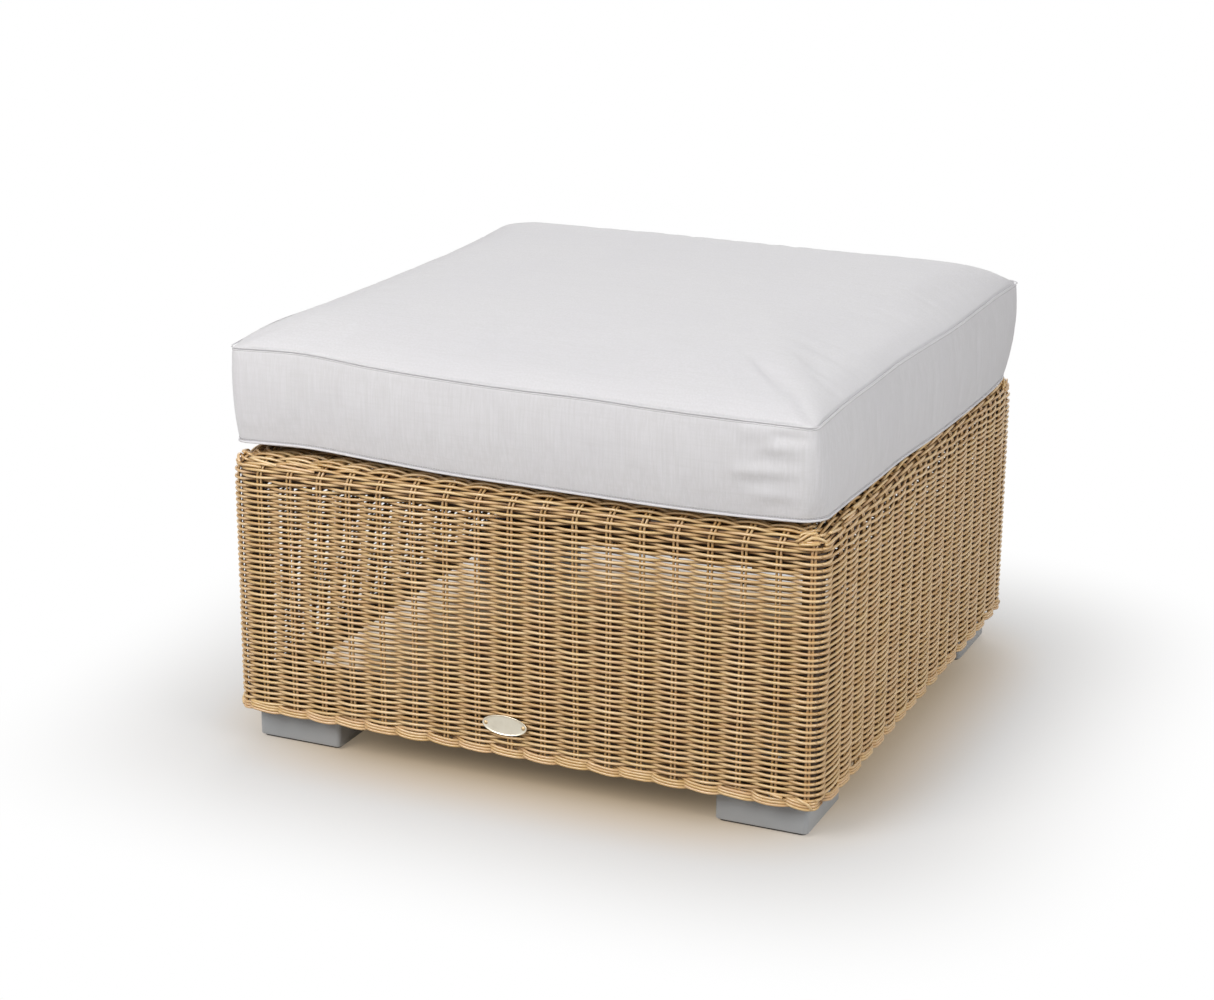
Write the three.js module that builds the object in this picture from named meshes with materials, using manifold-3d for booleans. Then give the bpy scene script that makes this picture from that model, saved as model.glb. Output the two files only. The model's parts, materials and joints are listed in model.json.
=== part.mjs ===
// An outdoor ottoman footstool: a hollow square body woven from round plastic strands over a
// welded aluminium tube frame, on four block feet, with a loose box cushion on its deck.
// Millimetres, +Z up. The origin is on the floor under the middle of the body. The front
// looks along -Y and the right side along +X.

import * as THREE from "three";
import { mergeVertices } from "three/addons/utils/BufferGeometryUtils.js";
import Module from "manifold-3d";

const wasm = await Module();
wasm.setup();

// Clearances
const seat_gap = 0.3;
const bolt_clearance = 0.5;
const cut_overrun = 2;

// Woven body, measured over the strands
const body_width = 658;
const body_depth = 658;
const body_top = 320;
const weave_bottom = 35;
const body_corner_radius = 22;
const top_edge_radius = 22;
const rim_width = 18;
const weave_thickness = 9.5;
const weave_inner_radius = 5;

// Plain weave over pairs of upright stakes: each strand passes in front of one pair and behind
// the next. One modelled course stands for four strands, which lie about 3 mm apart.
const stake_pitch = 35.6;
const stake_shift = 10.6;
const course_pitch = 12.1;
const stake_relief_depth = 3.8;
const crossing_relief_depth = 2.4;
const scallop_depth = 3;
const column_spacing_least = 2;
const courses_per_crossing_point = 2;

// Welded frame
const tube_size = 20;
const tube_wall = 1.5;
const slat_width = 30;
const slat_height = 12;
const slat_count = 3;

// Feet, their mounting plates, bolts and glides
const foot_size = 98;
const foot_inset = 18;
const foot_corner_radius = 5;
const foot_top = 44;
const foot_wall = 4;
const foot_roof = 5;
const foot_boss_radius = 13;
const plate_thickness = 6;
const weld_nut_radius = 8;
const weld_nut_height = 6.5;
const bolt_radius = 4;
const bolt_end = 2;
const bolt_head_radius = 6.9;
const bolt_head_height = 5.3;
const bolt_seat_depth = 10;
const glide_height = 2;
const glide_inset = 3;
const glide_plug_height = 6;

// Box cushion, measured at its seams, which stand a little inside the faces of the body
const cushion_setback = 4;
const cushion_width = body_width - 2 * cushion_setback;
const cushion_depth = body_depth - 2 * cushion_setback;
const cushion_boxing_height = 100;
const cushion_belly_depth = 9;
const cushion_crown_height = 16;
const cushion_draw_in_depth = 4;
const cushion_bulge_depth = 2;
const cushion_ear_length = 55;
const cushion_seam_radius = 22;
const cushion_boxing_radius = 30;
const cushion_cover_thickness = 1.5;
const welt_width = 1.6;
const welt_half_height = 1.5;

// Zip in the rear boxing
const zip_end_inset = 85;
const zip_opening = 14;
const zip_tape_thickness = 1;
const slider_length = 13;
const slider_height = 9;
const slider_depth = 2.4;
const slider_end_stop = 4;
const slider_nose_share = 0.55;

// Oval plate on the front, bare, with a rivet at each end
const oval_width = 50;
const oval_height = 21.5;
const oval_thickness = 0.8;
const oval_rim_width = 1.6;
const oval_rim_height = 0.3;
const oval_centre_x = -10;
const oval_centre_z = 70.5;
const rivet_spacing = 42;
const rivet_head_radius = 2.1;
const rivet_head_height = 0.6;
const rivet_shank_radius = 1.2;
const rivet_dome_share = 0.6;

// How finely round forms are faceted
const tube_corner_steps = 1;
const block_corner_steps = 3;
const cushion_corner_steps = 4;
const boss_steps = 3;
const hole_steps = 12;
const hexagon_sides = 6;
const oval_steps = 28;

// Rings of the cushion's cover and of its filling: on the panels a share of the outline and
// one of the crown or belly, on the boxing a share of its height.
const cover_shares = {
  belly: [[0.4, 1], [0.88, 1], [0.96, 0.6]],
  boxing: [0.25, 0.5, 0.75],
  crown: [[0.985, 0.16], [0.94, 0.4], [0.84, 0.66], [0.66, 0.86], [0.4, 0.96], [0.18, 0.99]],
};
const filling_shares = {
  belly: [[0.88, 1]],
  boxing: [0.5],
  crown: [[0.94, 0.4], [0.66, 0.86], [0.3, 0.97]],
};

// Places that follow from the sizes above
const frame_inset = weave_thickness + seat_gap;
const frame_top = body_top - frame_inset;
const tube_radius = weave_inner_radius - seat_gap;
const plate_bottom = foot_top + seat_gap;
const plate_top = plate_bottom + plate_thickness;
const rail_bottom = plate_top + seat_gap;
const post_top = frame_top - tube_radius;
const foot_bottom = glide_height + seat_gap;
const rim_inset = top_edge_radius + rim_width;
const bottom_seam = body_top + seat_gap + cushion_belly_depth;
const top_seam = bottom_seam + cushion_boxing_height;
const boxing_face = cushion_depth / 2 - cushion_draw_in_depth + cushion_bulge_depth;
const zip_length = cushion_width - 2 * zip_end_inset;
const zip_height = bottom_seam + cushion_boxing_height / 2;

const corners = [
  { name: "front_left", x: -1, y: -1 },
  { name: "front_right", x: 1, y: -1 },
  { name: "rear_right", x: 1, y: 1 },
  { name: "rear_left", x: -1, y: 1 },
];

// Sides in the order in which a quarter turn carries the front side round.
const sides = [
  { name: "front", length: body_width, reach: body_depth / 2 },
  { name: "right", length: body_depth, reach: body_width / 2 },
  { name: "rear", length: body_width, reach: body_depth / 2 },
  { name: "left", length: body_depth, reach: body_width / 2 },
];

const finishes = {
  strand: { color: 0xc9a473, roughness: 0.55, metalness: 0 },
  deck: { color: 0xb8935f, roughness: 0.6, metalness: 0 },
  coated: { color: 0x59483a, roughness: 0.5, metalness: 0 },
  foot: { color: 0x9ba0a3, roughness: 0.5, metalness: 0.3 },
  steel: { color: 0xb4b6b8, roughness: 0.35, metalness: 1 },
  rubber: { color: 0x3a3a3c, roughness: 0.8, metalness: 0 },
  plate: { color: 0xe2ddd0, roughness: 0.4, metalness: 0.5 },
  rivet: { color: 0xc8a15a, roughness: 0.35, metalness: 0.9 },
  fabric: { color: 0xe3e2e2, roughness: 0.95, metalness: 0 },
  foam: { color: 0xf0e8c8, roughness: 1, metalness: 0 },
  zip: { color: 0xd2d2d4, roughness: 0.7, metalness: 0 },
};

function mix(low, high, share) {
  return low + (high - low) * share;
}

function smooth(share) {
  const held = Math.min(1, Math.max(0, share));
  return held * held * (3 - 2 * held);
}

function named_mesh(name, geometry, finish) {
  const mesh = new THREE.Mesh(geometry, new THREE.MeshStandardMaterial(finish));
  mesh.name = name;
  return mesh;
}

// A geometry from lists of points and triangles, turned so that its faces look out.
function closed_geometry(points, triangles) {
  let volume = 0;
  for (const [a, b, c] of triangles) {
    volume += points[a].dot(new THREE.Vector3().crossVectors(points[b], points[c]));
  }
  const turned = volume < 0 ? triangles.map(([a, b, c]) => [a, c, b]) : triangles;
  const geometry = new THREE.BufferGeometry().setFromPoints(points);
  geometry.setIndex(turned.flat());
  geometry.computeVertexNormals();
  return geometry;
}

function to_solid(geometry) {
  const bare = geometry.clone();
  bare.deleteAttribute("normal");
  bare.deleteAttribute("uv");
  const merged = mergeVertices(bare);
  const mesh = new wasm.Mesh({
    numProp: 3,
    vertProperties: new Float32Array(merged.attributes.position.array),
    triVerts: new Uint32Array(merged.index.array),
  });
  return new wasm.Manifold(mesh);
}

function to_geometry(solid) {
  const mesh = solid.getMesh();
  const geometry = new THREE.BufferGeometry();
  geometry.setAttribute("position", new THREE.BufferAttribute(new Float32Array(mesh.vertProperties), 3));
  geometry.setIndex(new THREE.BufferAttribute(new Uint32Array(mesh.triVerts), 1));
  geometry.computeVertexNormals();
  return geometry;
}

function cut(geometry, ...tools) {
  return to_geometry(tools.reduce((solid, tool) => solid.subtract(to_solid(tool)), to_solid(geometry)));
}

function join(geometry, ...others) {
  return to_geometry(others.reduce((solid, other) => solid.add(to_solid(other)), to_solid(geometry)));
}

function rounded_outline(path, width, depth, radius) {
  const x = width / 2 - radius;
  const y = depth / 2 - radius;
  path.moveTo(x, -y - radius);
  path.absarc(x, -y, radius, -Math.PI / 2, 0, false);
  path.absarc(x, y, radius, 0, Math.PI / 2, false);
  path.absarc(-x, y, radius, Math.PI / 2, Math.PI, false);
  path.absarc(-x, -y, radius, Math.PI, Math.PI * 1.5, false);
  path.closePath();
  return path;
}

// An upright block with rounded corners, centred on Z and standing on z = 0.
function block(width, depth, height, radius, steps = block_corner_steps) {
  const outline = rounded_outline(new THREE.Shape(), width, depth, radius);
  return new THREE.ExtrudeGeometry(outline, { depth: height, bevelEnabled: false, curveSegments: steps });
}

// A rectangular tube with open ends, centred on Z and standing on z = 0.
function tube(width, depth, length, radius, wall) {
  const outline = rounded_outline(new THREE.Shape(), width, depth, radius);
  const inner_radius = Math.max(radius - wall, radius / 2);
  outline.holes.push(rounded_outline(new THREE.Path(), width - 2 * wall, depth - 2 * wall, inner_radius));
  const settings = { depth: length, bevelEnabled: false, curveSegments: tube_corner_steps };
  return new THREE.ExtrudeGeometry(outline, settings);
}

// A round bar or hole along Z, standing on z = 0.
function round_bar(radius, height, steps = hole_steps) {
  const bar = new THREE.CylinderGeometry(radius, radius, height, steps);
  return bar.rotateX(Math.PI / 2).translate(0, 0, height / 2);
}

// Triangles between two rows of points, each with its own rising parameters.
function bridge(row_a, row_b) {
  const triangles = [];
  let a = 0;
  let b = 0;
  while (a < row_a.length - 1 || b < row_b.length - 1) {
    const next_a = a < row_a.length - 1 ? row_a[a].at + row_a[a + 1].at : Infinity;
    const next_b = b < row_b.length - 1 ? row_b[b].at + row_b[b + 1].at : Infinity;
    if (next_a <= next_b) {
      triangles.push([row_a[a].index, row_a[a + 1].index, row_b[b].index]);
      a += 1;
    } else {
      triangles.push([row_a[a].index, row_b[b + 1].index, row_b[b].index]);
      b += 1;
    }
  }
  return triangles;
}

// Runs along the profile of a woven side: up the wall, over the top edge, in along the rim.
const wall_run = body_top - top_edge_radius - weave_bottom;
const roll_run = (top_edge_radius * Math.PI) / 2;
const profile_run = wall_run + roll_run + rim_width;
const course_count = Math.round(profile_run / course_pitch);
const course_step = profile_run / course_count;

// A point of the outer profile, sunk by a depth: its inset from the wall's face and its height.
function outer_profile(run, sunk) {
  const angle = Math.min(1, Math.max(0, (run - wall_run) / roll_run)) * (Math.PI / 2);
  const past_roll = Math.max(0, run - wall_run - roll_run);
  const arc = top_edge_radius - sunk;
  return {
    inset: top_edge_radius - arc * Math.cos(angle) + past_roll,
    z: Math.min(run, wall_run) + weave_bottom + arc * Math.sin(angle),
  };
}

// A point of the inner profile, which wraps the top rail with a tighter bend.
function inner_profile(run) {
  const straight_top = body_top - weave_thickness - weave_inner_radius;
  const angle = Math.min(1, Math.max(0, (run - wall_run) / roll_run)) * (Math.PI / 2);
  const rise = Math.min(1, run / wall_run);
  const rim = Math.max(0, run - wall_run - roll_run) / rim_width;
  const bend_end = weave_thickness + weave_inner_radius;
  return {
    inset: mix(bend_end - weave_inner_radius * Math.cos(angle), rim_inset, rim),
    z: mix(weave_bottom, straight_top, rise) + weave_inner_radius * Math.sin(angle),
  };
}

// A point of a side's plan, in the frame of the front side, at a run measured from its middle.
// Past the straight the plan bends through an eighth of a turn, up to the mitre.
function plan_point(side, run, inset, radius, z, at_mitre) {
  const straight = side.length / 2 - body_corner_radius;
  const reach = side.reach - inset;
  const half = side.length / 2 - inset - radius;
  const bend = Math.max(0, (Math.abs(run) - straight) / body_corner_radius);
  const along = Math.min(1, Math.abs(run) / straight) * half + radius * Math.sin(bend);
  const shortened = along - (at_mitre ? seat_gap / Math.SQRT2 : 0);
  return new THREE.Vector3(Math.sign(run) * shortened, -reach + radius * (1 - Math.cos(bend)), z);
}

// Where a side has columns of points: at each stake, between stakes and at the mitres.
function side_columns(side) {
  const straight = side.length / 2 - body_corner_radius;
  const half_run = straight + (body_corner_radius * Math.PI) / 4;
  const count = Math.round((2 * half_run) / stake_pitch);
  const pitch = (2 * half_run) / count;
  const runs = [];
  for (let half_step = -2; half_step <= 2 * count + 1; half_step += 1) {
    const run = (half_step * pitch) / 2 + (stake_shift % pitch) - half_run;
    if (Math.abs(run) < half_run - column_spacing_least) {
      runs.push({ run, at_stake: half_step % 2 !== 0, at_mitre: false });
    }
  }
  const mitres = [-half_run, half_run].map((run) => ({ run, at_stake: false, at_mitre: true }));
  return [mitres[0], ...runs, mitres[1]];
}

// A column of the woven face. In front of a stake each course stands out, with a deep gap to
// the next. Between stakes the strands change sides and lie level, and there each point
// gathers the ends of a few courses. The lowest course dips at each stake.
function woven_column(side, column) {
  const points = [];
  const spacing = column.at_stake ? 1 : 2 * courses_per_crossing_point;
  for (let half = 0; half <= 2 * course_count; half += 1) {
    const edge = half === 0 || half === 2 * course_count;
    if (!edge && (half - 1) % spacing !== 0) {
      continue;
    }
    const run = (half * course_step) / 2;
    const level = edge || !column.at_stake;
    const sunk = level ? crossing_relief_depth : stake_relief_depth * ((half + 1) % 2);
    const { inset, z } = outer_profile(run, sunk);
    const dip = half === 0 && column.at_stake ? scallop_depth : 0;
    const radius = Math.max(body_corner_radius - inset, weave_inner_radius);
    const place = plan_point(side, column.run, inset, radius, z - dip, column.at_mitre);
    points.push({ at: run, place });
  }
  return points;
}

function inner_column(side, column) {
  const roll = [0, 1, 2, 3, 4].map((quarter) => wall_run + (roll_run * quarter) / 4);
  return [0, ...roll, profile_run].map((run) => {
    const { inset, z } = inner_profile(run);
    const place = plan_point(side, column.run, inset, weave_inner_radius, z, column.at_mitre);
    return { at: run, place };
  });
}

// One side of the woven skin, from mitre to mitre, as a single closed solid.
function woven_side(side) {
  const points = [];
  const keep = (column, run) =>
    column.map(({ at, place }) => ({ at, run, index: points.push(place) - 1 }));
  const outer = side_columns(side).map((column) => keep(woven_column(side, column), column.run));
  const straight = side.length / 2 - body_corner_radius;
  const eighth = (body_corner_radius * Math.PI) / 4;
  const inner_runs = [straight, straight + eighth / 2, straight + eighth];
  const inner_places = [...inner_runs.map((run) => -run).reverse(), ...inner_runs];
  const inner = inner_places.map((run, place) => {
    const at_mitre = place === 0 || place === inner_places.length - 1;
    return keep(inner_column(side, { run, at_mitre }), run);
  });
  const triangles = [];
  const strips = (columns, turned) => {
    for (let column = 1; column < columns.length; column += 1) {
      const pair = [columns[column - 1], columns[column]];
      triangles.push(...bridge(...(turned ? pair.reverse() : pair)));
    }
  };
  strips(outer, false);
  strips(inner, true);
  const edge = (columns, end) =>
    columns.map((column) => ({ at: column[0].run, index: column.at(end).index }));
  triangles.push(...bridge(edge(outer, 0), edge(inner, 0)));
  triangles.push(...bridge(edge(inner, -1), edge(outer, -1)));
  triangles.push(...bridge(inner[0], outer[0]));
  triangles.push(...bridge(outer.at(-1), inner.at(-1)));
  return closed_geometry(points, triangles);
}

// The deck inside the rim, with its courses running from side to side.
function woven_deck() {
  const width = body_width - 2 * (rim_inset + seat_gap);
  const depth = body_depth - 2 * (rim_inset + seat_gap);
  const count = Math.round(depth / course_pitch);
  const step = depth / count;
  const profile = new THREE.Shape();
  profile.moveTo(-depth / 2, -weave_thickness);
  for (let course = 0; course < count; course += 1) {
    const start = course * step - depth / 2;
    profile.lineTo(start, course === 0 ? -crossing_relief_depth : -stake_relief_depth);
    profile.lineTo(start + step / 2, 0);
  }
  profile.lineTo(depth / 2, -crossing_relief_depth);
  profile.lineTo(depth / 2, -weave_thickness);
  profile.closePath();
  const settings = { depth: width, bevelEnabled: false };
  const ridged = new THREE.ExtrudeGeometry(profile, settings).translate(0, 0, -width / 2);
  ridged.rotateX(Math.PI / 2).rotateZ(Math.PI / 2);
  const outline = block(width, depth, weave_thickness + 2 * cut_overrun, body_corner_radius);
  outline.translate(0, 0, -weave_thickness - cut_overrun);
  return to_geometry(to_solid(ridged).intersect(to_solid(outline)));
}

function frame_pieces() {
  const frame = new THREE.Group();
  const centre_x = body_width / 2 - frame_inset - tube_size / 2;
  const centre_y = body_depth / 2 - frame_inset - tube_size / 2;
  const post = tube(tube_size, tube_size, post_top - rail_bottom, tube_radius, tube_wall);
  for (const corner of corners) {
    const mesh = named_mesh(`corner_post_${corner.name}`, post.clone(), finishes.coated);
    mesh.position.set(corner.x * centre_x, corner.y * centre_y, rail_bottom);
    frame.add(mesh);
  }
  sides.forEach((side, quarter) => {
    const length = side.length - 2 * (frame_inset + tube_size + seat_gap);
    const rail = tube(tube_size, tube_size, length, tube_radius, tube_wall);
    rail.translate(0, 0, -length / 2).rotateY(Math.PI / 2);
    const heights = { top_rail: frame_top - tube_size / 2, bottom_rail: rail_bottom + tube_size / 2 };
    for (const [level, height] of Object.entries(heights)) {
      const turned = new THREE.Group();
      const mesh = named_mesh(`${level}_${side.name}`, rail.clone(), finishes.coated);
      mesh.position.set(0, frame_inset + tube_size / 2 - side.reach, height);
      turned.rotation.z = (quarter * Math.PI) / 2;
      turned.add(mesh);
      frame.add(turned);
    }
  });
  const slat_length = body_width - 2 * (frame_inset + tube_size + seat_gap);
  const slat = tube(slat_height, slat_width, slat_length, tube_wall, tube_wall / 2);
  slat.translate(0, 0, -slat_length / 2).rotateY(Math.PI / 2);
  for (let number = 1; number <= slat_count; number += 1) {
    const mesh = named_mesh(`deck_slat_${number}`, slat.clone(), finishes.coated);
    const share = number / (slat_count + 1) - 1 / 2;
    mesh.position.set(0, share * (body_depth - 2 * frame_inset), frame_top - slat_height / 2);
    frame.add(mesh);
  }
  return frame;
}

// A plate welded under the corner post, with a nut welded over its bolt hole.
function mounting_plate(size, bolt_offset) {
  const height = plate_thickness + weld_nut_height;
  const hole = round_bar(bolt_radius + bolt_clearance, height + 2 * cut_overrun);
  hole.translate(bolt_offset.x, bolt_offset.y, -cut_overrun);
  const nut = round_bar(weld_nut_radius, height, hexagon_sides);
  nut.translate(bolt_offset.x, bolt_offset.y, 0);
  return cut(join(block(size.x, size.y, plate_thickness, tube_radius, tube_corner_steps), nut), hole);
}

// One of the four pockets of a foot, between its outer wall, two crossed ribs and the round
// boss, drawn smaller by an inset, in the given quarter of the foot.
function pocket_block(quarter, inset, height) {
  const low = foot_wall / 2 + inset;
  const high = foot_size / 2 - foot_wall - inset;
  const notch = foot_boss_radius + inset;
  const start = Math.asin(low / notch);
  const outline = new THREE.Shape();
  outline.moveTo(high, low);
  outline.lineTo(high, high);
  outline.lineTo(low, high);
  outline.absarc(0, 0, notch, Math.PI / 2 - start, start, true);
  outline.closePath();
  const settings = { depth: height, bevelEnabled: false, curveSegments: boss_steps };
  return new THREE.ExtrudeGeometry(outline, settings).rotateZ((quarter * Math.PI) / 2);
}

// A hollow block foot, open underneath, with crossed ribs and a boss for its bolt.
function foot_block() {
  const height = foot_top - foot_bottom;
  const pocket_height = height - foot_roof;
  const pockets = [0, 1, 2, 3].map((quarter) =>
    pocket_block(quarter, 0, pocket_height + cut_overrun).translate(0, 0, -cut_overrun));
  const bore = round_bar(bolt_radius + bolt_clearance, height + 2 * cut_overrun);
  const seat_height = height - bolt_seat_depth;
  const seat = round_bar(bolt_head_radius + bolt_clearance, seat_height + cut_overrun);
  const outline = block(foot_size, foot_size, height, foot_corner_radius);
  const tools = [bore, seat].map((tool) => tool.translate(0, 0, -cut_overrun));
  return cut(outline, ...pockets, ...tools);
}

// A hexagon bolt, standing head down on z = 0.
function foot_bolt() {
  const length = plate_top + weld_nut_height + bolt_end - foot_top + bolt_seat_depth - seat_gap;
  const head = round_bar(bolt_head_radius, bolt_head_height, hexagon_sides);
  const shank = round_bar(bolt_radius, length + cut_overrun);
  shank.translate(0, 0, bolt_head_height - cut_overrun);
  return join(head, shank);
}

// A plastic glide under a foot, with four plugs that press up into its pockets.
function glide_pad() {
  const size = foot_size - 2 * glide_inset;
  const pad = block(size, size, glide_height, foot_corner_radius);
  const plugs = [0, 1, 2, 3].map((quarter) => {
    const plug = pocket_block(quarter, seat_gap, glide_height / 2 + glide_plug_height);
    return plug.translate(0, 0, glide_height / 2);
  });
  return join(pad, ...plugs);
}

function foot_pieces() {
  const feet = new THREE.Group();
  const plate_outer = { x: body_width / 2 - frame_inset, y: body_depth / 2 - frame_inset };
  const foot_centre = {
    x: body_width / 2 - foot_inset - foot_size / 2,
    y: body_depth / 2 - foot_inset - foot_size / 2,
  };
  const size = {
    x: plate_outer.x - foot_centre.x + foot_size / 2,
    y: plate_outer.y - foot_centre.y + foot_size / 2,
  };
  const plate_centre = { x: plate_outer.x - size.x / 2, y: plate_outer.y - size.y / 2 };
  for (const corner of corners) {
    const bolt_offset = {
      x: corner.x * (foot_centre.x - plate_centre.x),
      y: corner.y * (foot_centre.y - plate_centre.y),
    };
    const at_foot = [corner.x * foot_centre.x, corner.y * foot_centre.y];
    const plate_shape = mounting_plate(size, bolt_offset);
    const plate = named_mesh(`mounting_plate_${corner.name}`, plate_shape, finishes.coated);
    plate.position.set(corner.x * plate_centre.x, corner.y * plate_centre.y, plate_bottom);
    const foot = named_mesh(`foot_${corner.name}`, foot_block(), finishes.foot);
    foot.position.set(...at_foot, foot_bottom);
    const bolt = named_mesh(`foot_bolt_${corner.name}`, foot_bolt(), finishes.steel);
    bolt.position.set(...at_foot, foot_top - bolt_seat_depth - bolt_head_height - seat_gap);
    const glide = named_mesh(`glide_${corner.name}`, glide_pad(), finishes.rubber);
    glide.position.set(...at_foot, 0);
    feet.add(plate, foot, bolt, glide);
  }
  return feet;
}

// One level ring of the cushion: a rounded square whose sides are drawn in between its corners.
function cushion_ring(outset, radius, z, share) {
  const half_x = cushion_width / 2 + outset;
  const half_y = cushion_depth / 2 + outset;
  const points = [];
  for (let quarter = 0; quarter < 4; quarter += 1) {
    const [along, across] = quarter % 2 === 0 ? [half_x, half_y] : [half_y, half_x];
    const run = along - radius;
    const before = [cushion_ear_length / 2, cushion_ear_length].map((place) => place - run);
    const places = [...before, 0, ...before.map((place) => -place).reverse()];
    const level = places.map((x) => {
      const from_corner = (run - Math.abs(x)) / cushion_ear_length;
      return [x, -across + cushion_draw_in_depth * smooth(from_corner)];
    });
    for (let step = 0; step <= cushion_corner_steps; step += 1) {
      const angle = (step / cushion_corner_steps) * (Math.PI / 2);
      level.push([run + radius * Math.sin(angle), radius * (1 - Math.cos(angle)) - across]);
    }
    const turn = (quarter * Math.PI) / 2;
    for (const [x, y] of level) {
      points.push(new THREE.Vector3(x, y, 0).applyAxisAngle(new THREE.Vector3(0, 0, 1), turn));
    }
  }
  return points.map((point) => point.multiplyScalar(share).setZ(z));
}

// The rings of the cushion from underneath to its crown, all moved inward by an offset.
function cushion_rings(shares, offset, welted) {
  const low = bottom_seam + offset;
  const high = top_seam - offset;
  const seam = (height) => {
    const rows = welted ? [[-1, 0], [0, 1], [1, 0]] : [[0, 0]];
    return rows.map(([up, out]) =>
      cushion_ring(out * welt_width - offset, cushion_seam_radius, height + up * welt_half_height, 1));
  };
  const panel = (rows, height, rise) =>
    rows.map(([share, drop]) => cushion_ring(-offset, cushion_seam_radius, height + drop * rise, share));
  const boxing = shares.boxing.map((share) => {
    const swell = 4 * share * (1 - share);
    const radius = mix(cushion_seam_radius, cushion_boxing_radius, swell);
    return cushion_ring(cushion_bulge_depth * swell - offset, radius, mix(low, high, share), 1);
  });
  return [
    ...panel(shares.belly, low, -cushion_belly_depth),
    ...seam(low),
    ...boxing,
    ...seam(high),
    ...panel(shares.crown, high, cushion_crown_height),
  ];
}

// A closed skin over rings of equal count, capped by a middle point at each end.
function ringed_solid(rings, bottom, top) {
  const points = rings.flat();
  const count = rings[0].length;
  const first = points.push(new THREE.Vector3(0, 0, bottom)) - 1;
  const last = points.push(new THREE.Vector3(0, 0, top)) - 1;
  const triangles = [];
  for (let step = 0; step < count; step += 1) {
    const next = (step + 1) % count;
    const crown = (rings.length - 1) * count;
    triangles.push([first, next, step], [last, crown + step, crown + next]);
    for (let ring = 0; ring < rings.length - 1; ring += 1) {
      const row = ring * count;
      triangles.push([row + step, row + next, row + count + next]);
      triangles.push([row + step, row + count + next, row + count + step]);
    }
  }
  return closed_geometry(points, triangles);
}

function cushion_solid(shares, offset, welted) {
  const bottom = bottom_seam - cushion_belly_depth + offset;
  const top = top_seam + cushion_crown_height - offset;
  return ringed_solid(cushion_rings(shares, offset, welted), bottom, top);
}

// A box between two opposite corners.
function box_between(low, high) {
  const size = high.map((value, axis) => value - low[axis]);
  return new THREE.BoxGeometry(...size).translate(...low.map((value, axis) => value + size[axis] / 2));
}

function cushion_cover() {
  const slit = box_between(
    [-zip_length / 2, boxing_face - cushion_cover_thickness - cut_overrun, zip_height - zip_opening / 2],
    [zip_length / 2, boxing_face + cut_overrun, zip_height + zip_opening / 2],
  );
  const filling_room = cushion_solid(filling_shares, cushion_cover_thickness, false);
  return cut(cushion_solid(cover_shares, 0, true), filling_room, slit);
}

function zip_tape() {
  const back = boxing_face - cushion_cover_thickness;
  const half_length = zip_length / 2 - seat_gap;
  const half_height = zip_opening / 2 - seat_gap;
  return box_between(
    [-half_length, back, zip_height - half_height],
    [half_length, back + zip_tape_thickness, zip_height + half_height],
  );
}

// A slider without a pull, wide at its nose and narrow at its tail, seen from behind.
function zip_slider() {
  const outline = new THREE.Shape();
  const half_nose = slider_height / 2;
  const half_tail = half_nose * slider_nose_share;
  outline.moveTo(-slider_length / 2, -half_tail);
  outline.lineTo(0, -half_nose);
  outline.lineTo(slider_length / 2, -half_nose);
  outline.quadraticCurveTo(slider_length / 2 - half_nose / 2, 0, slider_length / 2, half_nose);
  outline.lineTo(0, half_nose);
  outline.lineTo(-slider_length / 2, half_tail);
  outline.closePath();
  const settings = { depth: slider_depth, bevelEnabled: false, curveSegments: block_corner_steps };
  return new THREE.ExtrudeGeometry(outline, settings).rotateX(Math.PI / 2);
}

function cushion_pieces() {
  const cushion = new THREE.Group();
  cushion.add(named_mesh("cushion_cover", cushion_cover(), finishes.fabric));
  const core = cushion_solid(filling_shares, cushion_cover_thickness + seat_gap, false);
  cushion.add(named_mesh("foam_core", core, finishes.foam));
  cushion.add(named_mesh("zip_tape", zip_tape(), finishes.zip));
  const slider = named_mesh("zip_slider", zip_slider(), finishes.steel);
  const tape_face = boxing_face - cushion_cover_thickness + zip_tape_thickness;
  const slider_face = tape_face + seat_gap + slider_depth;
  slider.position.set(zip_length / 2 - slider_length / 2 - slider_end_stop, slider_face, zip_height);
  cushion.add(slider);
  return cushion;
}

// A bare oval plate with a raised rim and two rivet holes, its back on z = 0.
function oval_plate() {
  const radius = oval_width / 2;
  const floor_radius = radius - oval_rim_width;
  const profile = [
    [0, 0],
    [radius, 0],
    [radius, oval_thickness],
    [radius - oval_rim_width / 2, oval_thickness + oval_rim_height],
    [floor_radius, oval_thickness],
    [0, oval_thickness],
  ];
  const disc = new THREE.LatheGeometry(profile.map(([x, y]) => new THREE.Vector2(x, y)), oval_steps);
  disc.rotateX(Math.PI / 2).scale(1, oval_height / oval_width, 1);
  const holes = [-1, 1].map((side) => {
    const hole = round_bar(rivet_shank_radius + seat_gap, oval_thickness + 2 * cut_overrun);
    return hole.translate((side * rivet_spacing) / 2, 0, -cut_overrun);
  });
  return cut(disc, ...holes);
}

// A rivet with a low domed head, its head's seat on z = 0 and its shank below.
function rivet() {
  const shank_length = oval_thickness + seat_gap;
  const profile = [
    [0, -shank_length],
    [rivet_shank_radius, -shank_length],
    [rivet_shank_radius, 0],
    [rivet_head_radius, 0],
    [rivet_head_radius * rivet_dome_share, rivet_head_height],
    [0, rivet_head_height],
  ];
  const turned = new THREE.LatheGeometry(profile.map(([x, y]) => new THREE.Vector2(x, y)), hole_steps);
  return turned.rotateX(Math.PI / 2);
}

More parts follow.
